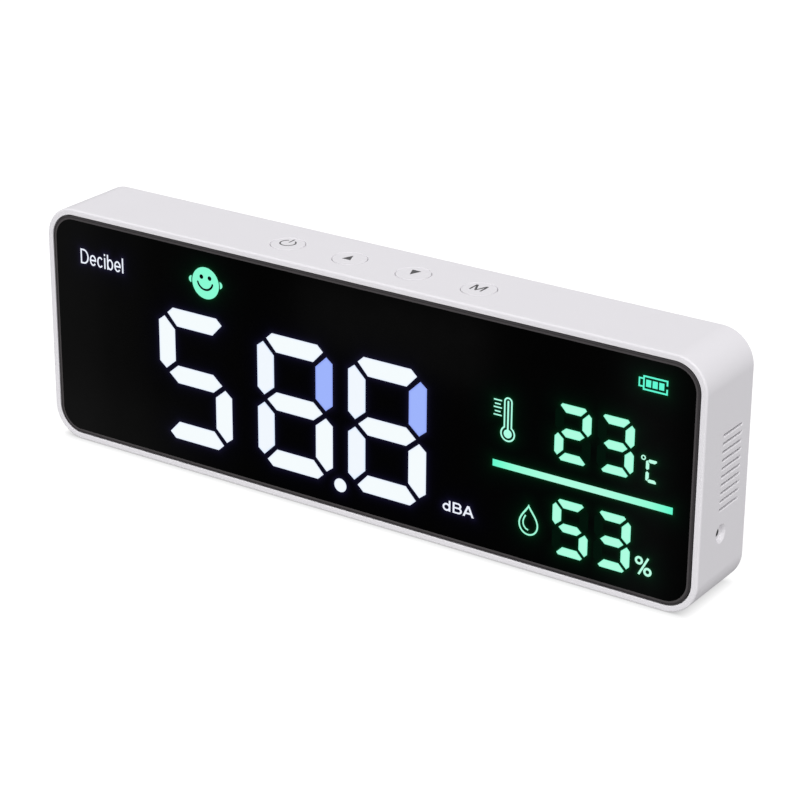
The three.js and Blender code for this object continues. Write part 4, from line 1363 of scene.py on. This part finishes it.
def screw_master():
    """A pan head screw along Z, with its thread and a cross recess."""
    low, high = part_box("case_screw_1")
    length = high.y - low.y
    head, rise, shank = 2.0 * MM, 0.85 * MM, 0.98 * MM
    seat = length - rise
    profile = [(0, 0), (shank * 0.3, 0.1 * MM)]
    pitch = 0.8 * MM
    turns = int((seat - 1.6 * MM) / pitch)
    for index in range(turns):
        z = 0.6 * MM + index * pitch
        profile += [(shank * 0.8, z), (shank, z + 0.28 * pitch), (shank * 0.8, z + 0.56 * pitch)]
    profile += [(shank * 0.8, seat), (head - 0.05 * MM, seat), (head, seat + 0.08 * MM)]
    rim = 0.3 * MM
    profile += ellipse((0, seat + rim), head, rise - rim, 0, 90, 7)[:-1]
    profile.append((0, length))
    screw = turned("screw", profile, 48)
    for wedge in cross_recess(1.15 * MM, length - 0.6 * MM, length + 0.1 * MM):
        combine(screw, [wedge], "DIFFERENCE")
    return smooth(screw, 35)


master = screw_master()
for index, spot in enumerate(SCREW_SPOTS):
    name = f"case_screw_{index + 1}"
    mesh = master.data.copy()
    spin = Matrix.Rotation(math.radians(17 + 53 * index), 4, "Z")
    mesh.transform(Matrix.Translation((spot.x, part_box(name)[0].y, spot.z)) @ ALONG_Y @ spin)
    wear(add_object(f"case_screw_head_{index + 1}", mesh), "steel", "case", name)
bpy.data.objects.remove(master)


def socket():
    """The charging socket: a rolled steel shell, its tongue, and the contacts on that."""
    low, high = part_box("usb_socket")
    middle = (low + high) / 2
    half = (high.x - low.x) / 2
    radius = (high.z - low.z) / 2
    wall, lip, depth = 0.3 * MM, 0.08 * MM, 7 * MM

    def loop(y, shrink):
        outline = stadium(half - radius, radius - shrink, 12)
        return [(middle.x + x, y, middle.z + z) for x, z in outline]

    loops = [loop(y, shrink) for y, shrink in (
        (low.y, 0), (high.y - lip, 0), (high.y - lip * 0.3, lip * 0.3), (high.y, lip),
        (high.y, wall - lip), (high.y - lip, wall), (high.y - depth, wall),
    )]
    wear(smooth(loft("socket_shell", loops)), "steel", "case", "usb_socket")
    low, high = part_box("usb_tongue")
    nose = 0.2 * MM
    loops = []
    half_x, half_z = (high.x - low.x) / 2, (high.z - low.z) / 2
    for y, shrink in (
        (low.y, 0), (high.y - nose, 0), (high.y - nose * 0.3, nose * 0.3), (high.y, nose),
    ):
        outline = rounded(half_x - shrink, half_z - shrink, 0.1 * MM)
        loops.append([(middle.x + x, y, middle.z + z) for x, z in outline])
    wear(smooth(loft("socket_tongue", loops)), "chip_black", "case", "usb_tongue")
    pads = []
    pitch, pad, rise = 0.5 * MM, 0.14 * MM, 0.03 * MM
    corners = ((-pad, -rise), (pad, -rise), (pad, rise), (-pad, rise))
    for surface_z in (middle.z - half_z, middle.z + half_z):
        for index in range(12):
            x = middle.x + (index - 5.5) * pitch
            pads.append(loft("pad", [
                [(x + right, y, surface_z + up) for right, up in corners]
                for y in (low.y + 0.3 * MM, high.y - 0.5 * MM)
            ]))
    contacts = joined("socket_contacts", pads)
    contacts.data.materials.append(FINISH["contact_gold"])
    wear(contacts, "steel", "case")


socket()


# ---------------- finishes of the carried-over nodes

# Each finish, and a part of the name of every node that wears it. The first match counts.
NODE_FINISH = (
    ("black_foam", "lens_gasket battery_pad"),
    ("diffuser_film", "diffuser_film"),
    ("reflector_white", "segment_reflector"),
    ("circuit_board", "display_board key_board main_board climate_board"),
    ("chip_black", "led_driver _chip board_header buzzer climate_sensor _switch_body"),
    ("connector_white", "battery_connector"),
    ("orange_flex", "key_ribbon climate_lead"),
    ("battery_wrap", "battery_cell"),
    ("red_wire", "battery_lead_red"),
    ("black_wire", "battery_lead_black microphone_lead"),
    ("black_rubber", "microphone_boot microphone_capsule _plunger"),
    ("steel", "screw"),
)
for name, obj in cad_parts.items():
    if obj.hide_render:
        continue
    found = [look for look, parts in NODE_FINISH if any(part in name for part in parts.split())]
    obj.data.materials.clear()
    obj.data.materials.append(FINISH[found[0]])


# ---------------- floor, lights, camera

FLOOR_SIZE = 12
FLOOR_DROP = 0.1 * MM
FLOOR_TONE = 0.15
# The painted contact shadow on the floor: its reach, the stretch over which it fades out before the
# right end, how open it stays there, and the floor's glow in full shadow and in the open.
PAINTED_SHADOW_REACH = 4 * MM
LIT_END = 12 * MM
END_OPENNESS = 0.95
CONTACT_GLOW, OPEN_GLOW = 0.36, 0.92


def floor_surface():
    """A pale matt sheet that glows as if lit from behind, with a painted contact shadow right
    beside what stands on it.

    The painted shadow is weaker beside the right end, where the studio light falls in under the
    case.
    """
    tone = (FLOOR_TONE, FLOOR_TONE, FLOOR_TONE)
    material = surface("floor", tone, 0.9, variation=0.01, patch=2, grain=50, bump=0.0)
    tree = material.node_tree
    # Painted shadow: ambient occlusion dims the floor's glow near the case, and less so towards its
    # right end.
    nearby = node(tree, "ShaderNodeAmbientOcclusion", {"Distance": PAINTED_SHADOW_REACH})
    place = node(tree, "ShaderNodeTexCoord").outputs["Object"]
    x = node(tree, "ShaderNodeSeparateXYZ", {0: place}).outputs["X"]
    beside = smoothstep(tree, x, HIGH.x - LIT_END, HIGH.x, END_OPENNESS)
    open_sky = combined(tree, "MAXIMUM", nearby.outputs["AO"], beside)
    feed(tree, tree.nodes["Principled BSDF"], {
        "Emission Strength": spread(tree, open_sky, CONTACT_GLOW, OPEN_GLOW),
        "Emission Color": (1, 1, 1),
    })
    return material


corners = ((-1, -1), (1, -1), (1, 1), (-1, 1))
floor_points = [(x * FLOOR_SIZE, y * FLOOR_SIZE, LOW.z - FLOOR_DROP) for x, y in corners]
floor = mesh_object("floor", floor_points, [(0, 1, 2, 3)])
floor.data.materials.append(floor_surface())
floor.visible_glossy = False
floor.visible_diffuse = False

CAMERA_AT = (0.48039, -0.70392, 0.39613)
CAMERA_TURN = 0.590167
CAMERA_TILT = 0.396222
CAMERA_ROLL = 0.0070954
CAMERA_LENS = 119.477


def add_camera():
    """The photograph's viewing angle, from a turn, a tilt and a small roll."""
    turn, tilt, roll = CAMERA_TURN, CAMERA_TILT, CAMERA_ROLL
    back = Vector((
        math.sin(turn) * math.cos(tilt), -math.cos(turn) * math.cos(tilt), math.sin(tilt)
    ))
    right = Vector((math.cos(turn), math.sin(turn), 0))
    up = back.cross(right)
    rolled_right = math.cos(roll) * right + math.sin(roll) * up
    rolled_up = -math.sin(roll) * right + math.cos(roll) * up
    camera = bpy.data.cameras.new("camera")
    camera.sensor_width = 36
    camera.lens = CAMERA_LENS
    camera.clip_start = 0.01
    camera.clip_end = 100
    made = add_object("camera", camera)
    basis = Matrix((rolled_right, rolled_up, back)).transposed().to_4x4()
    made.matrix_world = Matrix.Translation(CAMERA_AT) @ basis
    bpy.context.scene.camera = made


def add_light(name, towards, strength, softness):
    """A broad soft source far off, in a direction from the object."""
    light = bpy.data.lights.new(name, "SUN")
    light.energy = strength
    light.angle = math.radians(softness)
    made = add_object(name, light)
    made.rotation_euler = Vector(towards).to_track_quat("Z", "Y").to_euler()


def between(tree, value, start, end, soft):
    """1 where a value lies between two limits, with soft edges."""
    rise = smoothstep(tree, value, start - soft, start + soft)
    return combined(tree, "MULTIPLY", rise, smoothstep(tree, value, end + soft, end - soft))


# Cards in front of the panel and below it, which it reflects faintly: the limits across and up,
# as ratios to the depth in front, the softness of the edges and the brightness.
DARK_STUDIO = 0.012
CARDS = (
    ((-1.2, -0.858), (-0.62, -0.40), 0.004, 0.085),
    ((-0.851, -0.829), (-0.62, -0.40), 0.003, 0.045),
    ((-0.821, -0.772), (-0.62, -0.40), 0.008, 0.012),
    ((-1.2, -0.80), (-0.62, -0.545), 0.02, 0.04),
    ((-0.731, -0.619), (-0.487, -0.449), 0.006, 0.065),
    ((-0.546, -0.520), (-0.60, -0.44), 0.006, 0.06),
)


def studio_cards(tree, across, up):
    total = DARK_STUDIO
    for (left, right), (low, high), soft, brightness in CARDS:
        wide, tall = between(tree, across, left, right, soft), between(tree, up, low, high, soft)
        card = combined(tree, "MULTIPLY", combined(tree, "MULTIPLY", wide, tall), brightness)
        total = combined(tree, "ADD", total, card)
    return total


def add_world():
    """White to the camera, soft daylight to surfaces, and dark below the horizon to reflections."""
    world = bpy.data.worlds.new("studio")
    bpy.context.scene.world = world
    world.use_nodes = True
    tree = world.node_tree
    place = node(tree, "ShaderNodeTexCoord").outputs["Generated"]
    x, y, z = node(tree, "ShaderNodeSeparateXYZ", {"Vector": place}).outputs
    forward = combined(tree, "MAXIMUM", combined(tree, "MULTIPLY", y, -1.0), 0.02)
    across = combined(tree, "DIVIDE", x, forward)
    up = combined(tree, "DIVIDE", z, forward)
    cards = studio_cards(tree, across, up)
    reflected = mixed(tree, smoothstep(tree, z, -0.12, 0.05), cards, (0.6, 0.6, 0.6))
    soft = mixed(tree, smoothstep(tree, z, -0.2, 0.2), (0.7, 0.7, 0.705), (0.515, 0.512, 0.525))
    path = node(tree, "ShaderNodeLightPath").outputs
    lit = mixed(tree, path["Is Glossy Ray"], soft, reflected)
    seen = mixed(tree, path["Is Camera Ray"], lit, (1.0, 1.0, 1.0))
    feed(tree, tree.nodes["Background"], {"Color": seen})


add_camera()
add_light("key_light", (0.45, -0.35, 0.85), 1.57, 45)
add_light("front_light", (-0.15, -0.85, 0.5), 0.85, 70)
add_world()
bpy.context.scene.view_settings.view_transform = "Standard"
